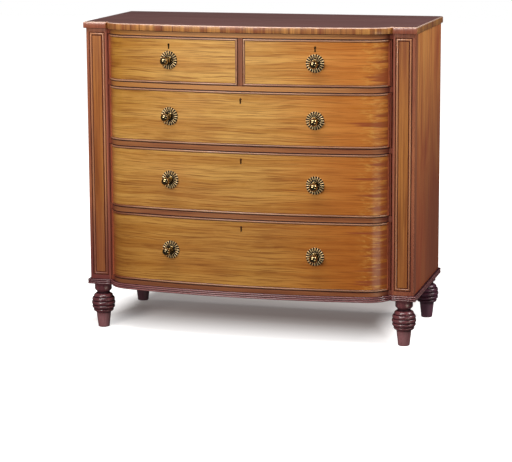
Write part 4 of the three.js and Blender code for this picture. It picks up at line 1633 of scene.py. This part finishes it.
@dataclass
class Pilaster:
    """A pilaster with a raised bead between quirks round its face, and a round corner beside the drawers."""

    hand: int
    strip: float = 9 * MM
    quirk: float = 3 * MM
    quirk_depth: float = 2.5 * MM
    quirk_wall: float = 0.2 * MM
    chamfer: float = 0.4 * MM
    bead: float = 6 * MM
    bead_rise: float = 0.5 * MM
    bead_fullness: float = 0.8
    bead_steps: int = 8
    cap_height: float = 12.5 * MM
    depth: float = 40 * MM
    corner: float = 6 * MM
    outer_corner: float = 1.2 * MM
    corner_segments: int = 5
    map_shift: float = 0.3
    map_lean: float = 0.7

    @property
    def name(self) -> str:
        """The pilaster's node."""
        return "pilaster_left" if self.hand < 0 else "pilaster_right"

    @property
    def base(self) -> float:
        """The height of the frame's lower edge."""
        return CARCASE.foot_height + CARCASE.moulding_height + self.cap_height - self.strip

    @property
    def head(self) -> float:
        """The height of the frame's upper edge."""
        return CARCASE.top_low - self.cap_height + self.strip

    @property
    def sides(self) -> Point:
        """How far its left and its right edge lie from the chest's middle."""
        low, high = sorted((self.hand * CARCASE.opening_half, self.hand * CARCASE.half_width))
        return low, high

    def profile(self) -> list[Point]:
        """The section of the face from its edge to its panel: inset, and height of the surface.

        Returns:
            The points.
        """
        low, wall = -self.quirk_depth, self.quirk_wall
        start = self.strip + self.quirk
        end = start + self.bead + self.quirk
        points = [
            (0.0, 0.0),
            (self.strip - self.chamfer, 0.0),
            (self.strip, -self.chamfer),
            (self.strip + wall, low),
            (start - wall, low),
        ]
        for i in range(self.bead_steps + 1):
            angle = math.pi * i / self.bead_steps
            swell = math.sin(angle) ** self.bead_fullness
            across = start + self.bead / 2 * (1 - math.cos(angle))
            points.append((across, low + (self.quirk_depth + self.bead_rise) * swell))
        return [*points, (end - self.chamfer, low), (end - wall, -self.chamfer), (end + wall, 0.0)]

    def lay_frame(self, form: Form) -> None:
        """Carries the section round the face, mitred at the corners.

        Args:
            form: The pilaster's mesh.
        """
        out = Vector((0.0, -1.0, 0.0))
        right = Vector((1.0, 0.0, 0.0))
        low, high = self.sides
        spots = (
            (low, self.base, right + UP),
            (high, self.base, -right + UP),
            (high, self.head, -right - UP),
            (low, self.head, right - UP),
        )
        corners = [station(Vector((x, FRONT_Y, z)), across, out) for x, z, across in spots]
        sweep = Sweep(form, self.profile(), corners[0], closed=False)
        for corner in [*corners[1:], corners[0]]:
            sweep.go(corner)
        bmesh.ops.remove_doubles(form.bm, verts=form.bm.verts, dist=NEAR)

    def fill_panel(self, form: Form) -> None:
        """Fills the flat panel inside the frame.

        Args:
            form: The pilaster's mesh.
        """
        (left, right), strip = self.sides, self.strip
        panel = [
            edge for edge in form.rim()
            if all(left + strip < v.co.x < right - strip for v in edge.verts)
            and all(self.base + strip < v.co.z < self.head - strip for v in edge.verts)
        ]
        bmesh.ops.contextual_create(form.bm, geom=panel)

    def fill_body(self, form: Form) -> None:
        """Draws the face on to the foot and the top board, and the body back from the face.

        Args:
            form: The pilaster's mesh.
        """
        for level, target in ((self.base, CARCASE.foot_height), (self.head, CARCASE.top_low)):
            edges = [e for e in form.rim() if all(abs(v.co.z - level) < NEAR for v in e.verts)]
            form.pull(edges, UP * (target - level))
        form.pull(form.rim(), Vector((0.0, self.depth, 0.0)))
        bmesh.ops.contextual_create(form.bm, geom=form.rim())
        bmesh.ops.recalc_face_normals(form.bm, faces=form.bm.faces)

    def round_corner(self, form: Form, x: float, size: float) -> None:
        """Rounds one upright edge of the face.

        Args:
            form: The pilaster's mesh.
            x: How far it lies from the chest's middle.
            size: How far the rounding reaches.
        """
        upright = [
            edge for edge in form.bm.edges
            if all(abs(v.co.x - x) < NEAR and abs(v.co.y - FRONT_Y) < NEAR for v in edge.verts)
        ]
        bmesh.ops.bevel(
            form.bm, geom=upright, offset=size, segments=self.corner_segments, profile=0.5,
            affect="EDGES", material=-1,
        )

    def choose(self, face: Face) -> int:
        """Which finish a face takes: panel, margin, quirk in painted shade, bead with a painted highlight, or
        the corner beside the drawers.

        Args:
            face: The face.

        Returns:
            The number of the finish.
        """
        place = face.center
        across = abs(place.x)
        beside = min(across - CARCASE.opening_half, CARCASE.half_width - across)
        inset = min(beside, place.z - self.base, self.head - place.z)
        bead_start = self.strip + self.quirk
        bead_end = bead_start + self.bead
        if across < CARCASE.opening_half + self.corner:
            return 4
        if inset < self.strip or place.y > FRONT_Y + self.quirk_depth + SLACK:
            return 1
        if inset > bead_end + self.quirk:
            return 0
        return 3 if bead_start < inset < bead_end else 2

    def build(self) -> None:
        """Makes the pilaster in place of its node."""
        form = Form()
        self.lay_frame(form)
        self.fill_panel(form)
        self.fill_body(form)
        self.round_corner(form, self.hand * CARCASE.opening_half, self.corner)
        self.round_corner(form, self.hand * CARCASE.half_width, self.outer_corner)
        form.map_grain(lambda p: (p.z + self.map_shift * self.hand, p.x + self.map_lean * p.y))
        piece = form.piece(f"{self.name}_shaped", CARCASE.body, Finishes.pilaster, Slot.CARCASE)
        paint(piece, (Finishes.strip, Finishes.quirk, Finishes.pilaster_bead_painted_highlight, Finishes.corner), self.choose)
        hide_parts(self.name)


@dataclass
class Facing:
    """The veneer on the bowed front edge of a rail, or of the divider between the short drawers.

    A rail's edges are painted dark, as the shade in the gaps beside the drawers.
    """

    name: str
    low: float
    high: float
    half_turn: float = BOW.end_turn
    upright: bool = False
    painted_shade_edge: float = 1.8 * MM
    thickness: float = 1.1 * MM
    proud: float = 0.35 * MM
    inset: float = 0.05 * MM

    @property
    def height(self) -> float:
        """The facing's own height."""
        return self.high - self.low - 2 * self.inset

    def choose(self, face: Face) -> int:
        """Which finish a rail's face takes: 1 for the edges in painted shade and 0 for the rest."""
        return int(abs(face.center.z - (self.low + self.high) / 2) > self.height / 2 - self.painted_shade_edge)

    def build(self) -> None:
        """Makes the facing."""
        back = self.proud - self.thickness
        form = Form()
        profile = [(0.0, back), (0.0, self.proud), (self.height, self.proud), (self.height, back)]
        if not self.upright:
            profile[2:2] = [(self.painted_shade_edge, self.proud), (self.height - self.painted_shade_edge, self.proud)]
        sweep = Sweep(form, profile, BOW.station(-self.half_turn, self.low + self.inset))
        BOW.follow(sweep, -self.half_turn, self.half_turn).cap()
        if self.upright:
            form.map_grain(lambda p: (p.z, BOW.along(p)))
            form.piece(f"{self.name}_facing", CARCASE.body, Finishes.stile, Slot.CARCASE)
            return
        form.map_grain(lambda p: (BOW.along(p), p.z + self.low))
        form.map_grain(BOW.share, PLACE_MAP)
        piece = form.piece(f"{self.name}_facing", CARCASE.body, Finishes.rail, Slot.CARCASE)
        paint(piece, (Finishes.groove,), self.choose)


@dataclass
class Foot:
    """A turned foot: collar, cove, reeded bulb and tapered leg.

    Its sizes are in millimetres, as radius and height from the floor up.
    """

    name: str
    finish: TurnedWood
    steps: int = 56
    ring_steps: int = 10
    shoulder_steps: int = 6
    leg: Section = (
        (0.0, 0.0), (17.4, 0.0), (18.4, 0.8), (18.8, 2.6), (21.2, 24.0), (23.6, 46.0), (24.2, 50.8),
    )
    quirks: Section = ((26.8, 52.4), (29.8, 62.6), (33.4, 74.8), (34.5, 89.0), (31.6, 102.0))
    crests: tuple[float, ...] = (33.2, 37.6, 39.0, 37.4)
    shoulder: Point = (10.4, 9.8)
    shoulder_low: float = 104.0
    shoulder_overhang: float = 0.4
    cove: Section = (
        (21.6, 115.4), (21.2, 118.4), (21.6, 120.6), (23.0, 122.4), (25.4, 123.8), (27.2, 125.6),
    )
    collar: Section = (
        (28.0, 127.8), (28.2, 130.0), (28.0, 136.0), (28.2, 142.0), (28.8, 144.6), (30.2, 146.0),
        (30.2, 147.6), (29.2, 148.0),
    )
    tenon: Section = ((11.0, 148.0), (11.0, 176.0), (0.0, 176.0))
    quirk_reach: float = 1.2
    cove_range: Point = (113.0, 121.0)

    def ring(self, low: Point, high: Point, crest: float) -> list[Point]:
        """One swelling ring of the bulb.

        Args:
            low: Radius and height of the quirk under it.
            high: Radius and height of the quirk over it.
            crest: Its greatest radius.

        Returns:
            Its points from the lower quirk up, without the upper quirk.
        """
        middle = ((low[0] + high[0]) / 2, (low[1] + high[1]) / 2)
        points = []
        for i in range(self.ring_steps):
            share = i / self.ring_steps
            angle = math.pi * share
            root = low[0] + (high[0] - low[0]) * share
            swell = (crest - middle[0]) * math.sin(angle)
            points.append((root + swell, middle[1] - (high[1] - low[1]) / 2 * math.cos(angle)))
        return points

    def profile(self) -> list[Point]:
        """The foot's whole section.

        Returns:
            Radius and height in millimetres, from the floor to the tenon's top.
        """
        points = list(self.leg)
        for low, high, crest in zip(self.quirks, self.quirks[1:], self.crests):
            points.extend(self.ring(low, high, crest))
        inner = self.quirks[-1][0] + self.shoulder_overhang - self.shoulder[0]
        shoulder = arc((inner, self.shoulder_low), self.shoulder, 0.0, math.pi / 2, self.shoulder_steps)
        return [*points, self.quirks[-1], *shoulder, *self.cove, *self.collar, *self.tenon]

    def is_in_painted_shade(self, height: float) -> bool:
        """Whether a place is down in a quirk or in the cove, where shade is painted dark."""
        in_quirk = any(abs(height - level) < self.quirk_reach for _, level in self.quirks)
        return in_quirk or self.cove_range[0] < height < self.cove_range[1]

    def build(self) -> None:
        """Makes the foot in place of its node."""
        low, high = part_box(self.name)
        middle = (low + high) / 2
        form = Form()
        form.turn(self.profile(), Vector((middle.x, middle.y, 0.0)), self.steps, merge=10 * NEAR)
        piece = form.piece(f"{self.name}_turned", CARCASE.body, self.finish, Slot.TURNED, smooth=48)
        paint(piece, (Finishes.groove,), lambda face: int(self.is_in_painted_shade(face.center.z / MM)))
        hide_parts(self.name)


# Pieces of the drawers


@dataclass
class Keyhole:
    """The keyhole of a drawer: a round head over a slot, lined with thin brass."""

    drawer: str
    body: str
    x: float
    z: float
    head: float = 3.0 * MM
    head_height: float = 5.0 * MM
    head_steps: int = 12
    slot_half: float = 1.7 * MM
    slot_depth: float = 8.0 * MM
    wall: float = 0.75 * MM
    wall_proud: float = 0.5 * MM
    wall_depth: float = 3 * MM
    cut: float = 0.8 * MM
    cut_reach: float = 6 * MM

    def outline(self, grow: float) -> list[Point]:
        """The hole's outline.

        Args:
            grow: How far outside the hole it runs.

        Returns:
            Points across and up from the hole's middle, anticlockwise.
        """
        head, half, low = self.head + grow, self.slot_half + grow, -self.slot_depth - grow
        neck = math.asin(half / head)
        start = neck - math.pi / 2
        round_head = arc((0.0, self.head_height), (head, head), start, math.pi - start, self.head_steps)
        return [(-half, low), (half, low), *round_head]

    def ring(self, form: Form, grow: float, height: float) -> list[Edge]:
        """Sets out the outline over or under the face.

        Args:
            form: The mesh that it is part of.
            grow: How far outside the hole it runs.
            height: How far over the face it lies.

        Returns:
            The edges.
        """
        place = BOW.mount(self.x, self.z, height)
        return form.ring(place @ Vector((a, b, 0.0)) for a, b in self.outline(grow))

    def pierce(self, piece: bpy.types.Object) -> None:
        """Cuts the hole through a piece.

        Args:
            piece: The piece.
        """
        form = Form()
        form.skin([self.ring(form, self.cut, height) for height in (-self.cut_reach, self.cut_reach)])
        bmesh.ops.recalc_face_normals(form.bm, faces=form.bm.faces)
        cutter = form.release("keyhole_cutter")
        cut = piece.modifiers.new("keyhole", "BOOLEAN")
        cut.operation = "DIFFERENCE"
        cut.solver = "EXACT"
        cut.object = cutter
        graph = bpy.context.evaluated_depsgraph_get()
        mesh = bpy.data.meshes.new_from_object(piece.evaluated_get(graph))
        piece.modifiers.clear()
        piece.data = mesh
        bpy.data.objects.remove(cutter)

    def build(self) -> None:
        """Makes the lining."""
        form = Form()
        proud, deep = self.wall_proud, -self.wall_depth
        levels = ((0.0, proud), (0.0, deep), (self.wall, deep), (self.wall, proud))
        rings = [self.ring(form, grow, height) for grow, height in levels]
        for low, high in zip(rings, [*rings[1:], rings[0]]):
            bmesh.ops.bridge_loops(form.bm, edges=low + high)
        form.piece(f"{self.drawer}_keyhole_lining", self.body, Finishes.brass, Slot.BRASS)


@dataclass
class Knob:
    """A brass knob: a rose of radiating petals, a dished hub, a neck and a ball, with its stud and nut.

    The turned sections are in millimetres, as radius and height over the drawer's face.
    """

    node: str
    body: str
    x: float
    z: float
    petals: int = 20
    petal_length: float = 15.5 * MM
    petal_width: float = 4.4 * MM
    petal_height: float = 5.4 * MM
    petal_lift: float = 2.4 * MM
    petal_sides: int = 14
    petal_rings: int = 10
    root_width: float = 0.42
    root_height: float = 0.7
    rose: float = 30 * MM
    reach: float = 52 * MM
    ball: float = 13 * MM
    ball_root: float = 7.2 * MM
    ball_steps: int = 14
    steps: int = 40
    plate: Section = ((0.0, 0.45), (28.4, 0.45), (28.9, 1.2), (28.2, 2.4), (17.0, 2.8), (0.0, 2.8))
    stud: Section = (
        (0.0, -27.3), (6.0, -27.3), (7.0, -26.6), (7.0, -23.0), (6.0, -22.3), (2.7, -22.3), (2.7, 1.0),
    )
    hub: Section = (
        (13.4, 2.0), (13.4, 4.2), (12.8, 5.2), (11.8, 5.6), (10.8, 5.2), (10.2, 4.4), (9.6, 4.2), (9.0, 4.8),
    )
    neck: Section = (
        (8.6, 6.4), (8.2, 8.0), (7.4, 9.4), (6.6, 11.0), (6.0, 13.5), (5.6, 17.0), (5.8, 20.5), (6.8, 23.0),
        (8.0, 24.4), (8.2, 26.0), (7.4, 27.2),
    )

    def turned(self, profile: Sequence[Point]) -> Form:
        """A turning about the knob's own axis.

        Args:
            profile: Its section.

        Returns:
            The form, with Z out of the drawer.
        """
        form = Form()
        form.turn(profile, Vector(), self.steps)
        return form

    def handle_profile(self) -> list[Point]:
        """The section of stud, hub, neck and ball, from the nut to the ball's top.

        Returns:
            The points.
        """
        radius, middle = self.ball / MM, (self.reach - self.ball) / MM
        first = math.asin(self.ball_root / self.ball) - math.pi / 2
        ball = arc((0.0, middle), (radius, radius), first, math.pi / 2, self.ball_steps)
        ball[-1] = (0.0, middle + radius)
        return [*self.stud, *self.hub, *self.neck, *ball]

    def petal_form(self) -> Form:
        """All the petals, each a drooping drop that swells towards the rim.

        Returns:
            The form, with Z out of the drawer.
        """
        form = Form()
        bm = form.bm
        half = 0.5
        bmesh.ops.create_uvsphere(bm, u_segments=self.petal_sides, v_segments=self.petal_rings, radius=half)
        for vert in bm.verts:
            share = vert.co.x + half
            vert.co.x = self.rose - self.petal_length * (1 - share)
            vert.co.y *= self.petal_width * (self.root_width + (1 - self.root_width) * share)
            vert.co.z *= self.petal_height * (self.root_height + (1 - self.root_height) * share)
        bmesh.ops.translate(bm, verts=bm.verts, vec=UP * self.petal_lift)
        bmesh.ops.spin(
            bm, geom=[*bm.verts, *bm.edges, *bm.faces], cent=Vector(), axis=UP,
            angle=math.tau * (self.petals - 1) / self.petals, steps=self.petals - 1, use_duplicate=True,
        )
        return form

    def build(self) -> None:
        """Makes the knob's three pieces in place of its node."""
        plate, handle, petals = self.turned(self.plate), self.turned(self.handle_profile()), self.petal_form()
        for form in (plate, handle, petals):
            bmesh.ops.transform(form.bm, matrix=BOW.mount(self.x, self.z), verts=form.bm.verts)
        stem = self.node.replace("_drawer_knob", "_knob")
        plate.piece(f"{stem}_rose_plate", self.body, Finishes.patina, Slot.BRASS)
        shape = handle.piece(f"{stem}_handle", self.body, Finishes.brass, Slot.BRASS, smooth=60)
        petals.piece(f"{stem}_rose_petals", self.body, Finishes.petal_brass, Slot.BRASS, smooth=80)
        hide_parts(self.node)


@dataclass
class DrawerFront:
    """The veneer, cock bead, dark line of painted shade, keyhole and knobs of one drawer.

    Its left and right ends are angles on the bow. The seed moves its veneer's figure.
    """

    name: str
    floor: float
    opening: float
    left: float
    right: float
    knobs: tuple[tuple[str, float], ...]
    lock_x: float
    seed: float
    bottom_gap: float = 1.5 * MM
    top_gap: float = 2 * MM
    keyhole_drop: float = 30 * MM
    bead_width: float = 4.4 * MM
    bead_side: float = 1.6 * MM
    bead_dome: float = 1.0 * MM
    bead_root: float = -1.0 * MM
    bead_lap: float = 0.05 * MM
    bead_steps: int = 8
    bead_end: float = 0.975
    corner_run: float = 0.4 * MM
    line_width: float = 1.7 * MM
    line_height: float = 0.45 * MM
    line_lap: float = 0.2 * MM
    veneer: float = 1.1 * MM
    veneer_lap: float = 0.3 * MM
    proud: float = 0.35 * MM
    border_lean: float = 0.3
    figure_shift: Point = (3.7, 1.9)

    @property
    def body(self) -> str:
        """The CAD body that everything here rides on."""
        return f"{self.name}_drawer"

    @property
    def low(self) -> float:
        """The height of the front's lower edge."""
        return self.floor + self.bottom_gap

    @property
    def high(self) -> float:
        """The height of the front's upper edge."""
        return self.floor + self.opening - self.top_gap

    @cached_property
    def keyhole(self) -> Keyhole:
        """The drawer's keyhole."""
        return Keyhole(self.name, self.body, self.lock_x, self.floor + self.opening - self.keyhole_drop)

    def ends(self, inset: float) -> Point:
        """The angles a little way in from both ends of the front.

        Args:
            inset: How far in, in metres.

        Returns:
            The left and the right angle.
        """
        left = self.left + inset / BOW.arc_at(self.left)[1]
        right = self.right - inset / BOW.arc_at(self.right)[1]
        return left, right

    def bead_profile(self) -> list[Point]:
        """The section of the cock bead: inwards from the drawer's edge, and out from its face.

        Returns:
            The points.
        """
        half = (self.bead_width + self.bead_lap) / 2
        centre = (half - self.bead_lap, self.bead_side)
        dome = arc(centre, (-half, self.bead_dome), 0.0, math.pi, self.bead_steps)
        return [(-self.bead_lap, self.bead_root), *dome, (self.bead_width, self.bead_root)]

    def line_profile(self) -> list[Point]:
        """The section of the dark line of painted shade beside the bead, where the bead's foot would be in
        shade.

        Returns:
            The points.
        """
        start = self.bead_width - self.line_lap
        end = self.bead_width + self.line_width
        top, root = self.line_height, self.bead_root
        return [(start, root), (start, top), (end, top), (end, root)]

    def build_border(self, name: str, profile: Sequence[Point], finish: Finish) -> None:
        """Carries a section round the front, mitred at its corners.

        Args:
            name: What the piece is called after the drawer's name.
            profile: The section, inwards from the edge and out from the face.
            finish: The piece's finish.
        """
        form = Form()
        low, high = self.low, self.high
        start, end = self.left, self.right
        left, right = self.ends(max(across for across, _ in profile) + self.corner_run)
        from_left, from_right = BOW.tangent(start), -BOW.tangent(end)
        sweep = Sweep(form, profile, BOW.station(start, low, UP + from_left))
        sweep.go(BOW.station(left, low, UP))
        BOW.follow(sweep, left, right)
        sweep.go(BOW.station(end, low, UP + from_right))
        sweep.go(BOW.station(end, high, -UP + from_right))
        sweep.go(BOW.station(right, high, -UP))
        BOW.follow(sweep, right, left)
        sweep.go(BOW.station(start, high, -UP + from_left))
        sweep.go(BOW.station(start, low, UP + from_left))
        form.map_grain(lambda p: (BOW.along(p) + p.z, p.z * self.border_lean + self.seed))
        form.map_grain(BOW.share, PLACE_MAP)
        piece = form.piece(f"{self.name}_{name}", self.body, finish, Slot.FRONT, smooth=50, merge=2 * NEAR)
        paint(piece, (Finishes.end_bead_in_painted_shade,), lambda face: int(abs(BOW.share(face.center)[0]) > self.bead_end))

    def build_veneer(self) -> None:
        """Makes the veneer inside the bead, pierced by the keyhole."""
        inset = self.bead_width - self.veneer_lap
        left, right = self.ends(inset)
        height = self.high - self.low - 2 * inset
        back = self.proud - self.veneer
        form = Form()
        profile = ((0.0, back), (0.0, self.proud), (height, self.proud), (height, back))
        sweep = Sweep(form, profile, BOW.station(left, self.low + inset))
        BOW.follow(sweep, left, right).cap()
        along, up = (shift * self.seed for shift in self.figure_shift)
        form.map_grain(lambda p: (BOW.along(p) + along, p.z + up))
        form.map_grain(BOW.share, PLACE_MAP)
        sheet = form.piece(f"{self.name}_front_veneer", self.body, Finishes.front, Slot.FRONT)
        self.keyhole.pierce(sheet)

    def build(self) -> None:
        """Makes every piece of the front."""
        self.build_border("cock_bead", self.bead_profile(), Finishes.bead)
        # a dark line of painted shade beside the bead
        self.build_border("dark_line", self.line_profile(), Finishes.painted_shade_line)
        self.build_veneer()
        self.keyhole.build()
        for ending, x in self.knobs:
            node = f"{self.name}_drawer_knob{ending}"
            Knob(node, self.body, x, self.floor + self.opening / 2).build()


# The photographer's set


@dataclass
class Lens:
    """The camera, solved from the photograph: its place, its turns and its focal length in pixels."""

    place: Point = (1617.9 * MM, 1500.2 * MM)
    distance: float = 5662.8 * MM
    yaw: float = 0.2738
    pitch: float = 0.1657
    roll: float = -0.0051
    focal_pixels: float = 1869.68
    image: tuple[int, int] = (512, 462)
    axis_row: float = 180.0
    sensor: float = 36.0
    sight: float = 60.0

    def build(self) -> None:
        """Makes the camera and hands it to the scene."""
        forward = Vector(
            (
                -math.sin(self.yaw) * math.cos(self.pitch),
                math.cos(self.yaw) * math.cos(self.pitch),
                -math.sin(self.pitch),
            )
        )
        level = Vector((math.cos(self.yaw), math.sin(self.yaw), 0.0))
        above = level.cross(forward)
        right = level * math.cos(self.roll) + above * math.sin(self.roll)
        up = above * math.cos(self.roll) - level * math.sin(self.roll)
        data = bpy.data.cameras.new("camera")
        data.sensor_width = self.sensor
        data.lens = self.focal_pixels / self.image[0] * self.sensor
        data.shift_y = (self.axis_row - self.image[1] / 2) / self.image[0]
        data.clip_end = self.sight
        camera = bpy.data.objects.new("camera", data)
        spot = Vector((self.place[0], FRONT_Y - self.distance, self.place[1]))
        camera.matrix_world = axes(right, up, -forward, spot)
        bpy.context.scene.collection.objects.link(camera)
        bpy.context.scene.camera = camera


@dataclass
class Softbox:
    """A soft square light that points at the chest."""

    name: str
    place: Place
    size: Point
    power: float
    tint: Colour
    target: Place = (0.0, 0.0, 0.5)
    on_surface: bool = True
    in_polish: bool = True

    def build(self) -> None:
        """Makes the light."""
        data = bpy.data.lights.new(self.name, "AREA")
        data.shape = "RECTANGLE"
        data.size, data.size_y = self.size
        data.energy = self.power
        data.color = self.tint
        lamp = bpy.data.objects.new(self.name, data)
        spot = Vector(self.place)
        lamp.location = spot
        lamp.visible_diffuse = self.on_surface
        lamp.visible_glossy = self.in_polish
        lamp.rotation_euler = (Vector(self.target) - spot).to_track_quat("-Z", "Y").to_euler()
        bpy.context.scene.collection.objects.link(lamp)


@dataclass
class Studio:
    """A white floor under soft lights, against a white ground.

    The floor glows white outside a rounded box, given by its centre and half sizes: its fade paints the
    shadow's edge.
    """

    floor_half: float = 12.0
    paper: Colour = (0.82, 0.79, 0.79)
    paper_roughness: Point = (0.86, 0.9)
    shade_centre: Place = (-0.07, 0.38, 0.0)
    shade_half: Place = (0.4, 0.23, 1.0)
    shade_fade: Place = (0.2, 0.44, 1.0)
    seen_light: float = 1.0
    soft_light: float = 0.2
    mirrored_light: float = 0.05
    lights: tuple[Softbox, ...] = (
        Softbox("overhead", (-0.3, -1.6, 3.0), (2.6, 0.8), 57, (1.0, 0.98, 0.95)),
        Softbox("key_left", (-1.5, -4.6, 1.9), (1.5, 1.2), 94, (1.0, 0.97, 0.91)),
        Softbox("side_right", (3.0, 0.2, 2.7), (1.2, 1.2), 60, (1.0, 0.98, 0.96), (0.55, 0.0, 0.9)),
        Softbox("back_fill", (-0.6, 4.2, 2.4), (2.4, 1.6), 42, (1.0, 0.99, 0.98), in_polish=False),
        Softbox(
            "card_right", (3.62, -2.6, -0.56), (2.8, 0.42), 25, (1.0, 0.94, 0.76), (0.45, -0.2, -0.56),
            on_surface=False,
        ),
    )

    def build_floor(self) -> None:
        """Makes the floor, which glows white except in the shade under the chest, the glow painting the
        shade's edge.
        """
        form = Form()
        bmesh.ops.create_grid(form.bm, x_segments=1, y_segments=1, size=self.floor_half)
        floor = form.release("studio_floor")
        floor.visible_glossy = False
        floor.visible_diffuse = False
        floor.visible_shadow = False
        graph = Graph("studio_paper")
        place = graph.source(Grain.ALONG_X)
        fibres = graph.pattern(PAPER, place)
        nothing = (0.0, 0.0, 0.0)
        beyond = place
        for kind, amount in (
            (Step.SUBTRACT, self.shade_centre),
            (Step.ABSOLUTE, nothing),
            (Step.SUBTRACT, self.shade_half),
            (Step.MAXIMUM, nothing),
            (Step.DIVIDE, self.shade_fade),
        ):
            beyond = graph.vector(kind, beyond, amount)
        farther = graph.step(Step.MAXIMUM, graph.axis(beyond, Axis.X), graph.axis(beyond, Axis.Y))
        # painted shadow edge: the floor glows white outside the box, fading in towards the chest
        graph.dress(
            {
                "Base Color": self.paper,
                "Roughness": graph.between(fibres, *PAPER.part, *self.paper_roughness),
                "Specular IOR Level": 0.0,
                "Emission Color": (1.0, 1.0, 1.0),
                "Emission Strength": graph.between(farther, 0.0, 1.0),
            }
        )
        floor.data.materials.append(graph.material)

    def build_world(self) -> None:
        """Makes a ground that is white behind the chest, soft as light and dim in its polish."""
        world = bpy.data.worlds.new("studio")
        bpy.context.scene.world = world
        world.use_nodes = True
        tree = world.node_tree
        tree.nodes.clear()
        output = tree.nodes.new("ShaderNodeOutputWorld")
        ray = tree.nodes.new("ShaderNodeLightPath")
        shader = self.ground(tree, self.soft_light)
        for kind, strength in (("Is Glossy Ray", self.mirrored_light), ("Is Camera Ray", self.seen_light)):
            mixed = tree.nodes.new("ShaderNodeMixShader")
            tree.links.new(ray.outputs[kind], mixed.inputs[0])
            tree.links.new(shader, mixed.inputs[1])
            tree.links.new(self.ground(tree, strength), mixed.inputs[2])
            shader = mixed.outputs[0]
        tree.links.new(shader, output.inputs["Surface"])

    def ground(self, tree: bpy.types.NodeTree, strength: float) -> Socket:
        """A plain white ground.

        Args:
            tree: The world's node tree.
            strength: How bright it is.

        Returns:
            The shader socket.
        """
        ground = tree.nodes.new("ShaderNodeBackground")
        ground.inputs["Color"].default_value = (1.0, 1.0, 1.0, 1.0)
        ground.inputs["Strength"].default_value = strength
        return ground.outputs[0]

    def build(self) -> None:
        """Makes the whole set."""
        self.build_floor()
        self.build_world()
        for light in self.lights:
            light.build()
        bpy.context.scene.view_settings.view_transform = "Standard"


# The chest


@dataclass
class Chest:
    """The dressed chest: new pieces, and finishes for the CAD nodes that stay.

    A long drawer is given by its name, the height of its opening's floor, the opening's height and its seed.
    """

    knob_half: float = 238 * MM
    divider_half: float = 10 * MM
    divider_face: float = 7.45 * MM
    short_floor: float = 827 * MM
    short_opening: float = 148 * MM
    long_drawers: tuple[tuple[str, float, float, float], ...] = (
        ("lower", 181 * MM, 220 * MM, 1.0),
        ("middle", 419 * MM, 199 * MM, 2.0),
        ("upper", 636 * MM, 173 * MM, 3.0),
    )
    foot_finishes: tuple[tuple[str, TurnedWood], ...] = (
        ("foot_front_left", Finishes.turned),
        ("foot_front_right", Finishes.turned),
        ("foot_back_left", Finishes.turned_shade),
        ("foot_back_right", Finishes.turned_in_painted_shade_behind),
    )
    node_finishes: tuple[tuple[str, Finish], ...] = (
        ("lock_bolt", Finishes.brass),
        ("_lock", Finishes.iron),
        ("knob", Finishes.brass),
        ("drawer_front", Finishes.carcase),
        ("drawer_back", Finishes.lining_across),
        ("drawer_bottom", Finishes.lining_across),
        ("drawer_", Finishes.lining),
        ("side_", Finishes.side),
        ("back_panel", Finishes.pine),
        ("foot_", Finishes.turned),
    )

    def fronts(self) -> list[DrawerFront]:
        """The five drawer fronts.

        Returns:
            The fronts, from the bottom up.
        """
        end, inner, knob = BOW.end_turn, BOW.turn_at(self.divider_half), self.knob_half
        both = (("_left", -knob), ("_right", knob))
        height = (self.short_floor, self.short_opening)
        fronts = [
            DrawerFront(name, floor, opening, -end, end, both, 0.0, seed)
            for name, floor, opening, seed in self.long_drawers
        ]
        fronts.append(DrawerFront("short_left", *height, -end, -inner, (("", -knob),), -knob, 4.0))
        fronts.append(DrawerFront("short_right", *height, inner, end, (("", knob),), knob, 5.0))
        return fronts

    def finish_for(self, node: str) -> Finish:
        """The finish of a CAD node that stays: the first whose word is in its name, or else the carcase's."""
        return next((finish for word, finish in self.node_finishes if word in node), Finishes.carcase)

    def dress_nodes(self) -> None:
        """Gives every CAD node its finish."""
        for name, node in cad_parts.items():
            finish = self.finish_for(name)
            node.data.materials.clear()
            node.data.materials.append(finish.material())
            LOG.info("%s: %s", name, finish.name)

    def build(self) -> None:
        """Makes every new piece."""
        self.dress_nodes()
        TopBoard().build()
        BaseMoulding().build()
        for hand in (-1, 1):
            Pilaster(hand).build()
        for name, low, high in CARCASE.rails:
            Facing(f"{name}_rail", low, high).build()
        high = self.short_floor + self.short_opening
        Facing("divider", self.short_floor, high, BOW.turn_at(self.divider_face), upright=True).build()
        for name, finish in self.foot_finishes:
            Foot(name, finish).build()
        for front in self.fronts():
            front.build()


def main() -> None:
    """Builds the camera, the set and the chest."""
    logging.basicConfig(level=logging.INFO, format="%(name)s: %(message)s")
    Lens().build()
    Studio().build()
    Chest().build()


if __name__ == "__main__":
    main()
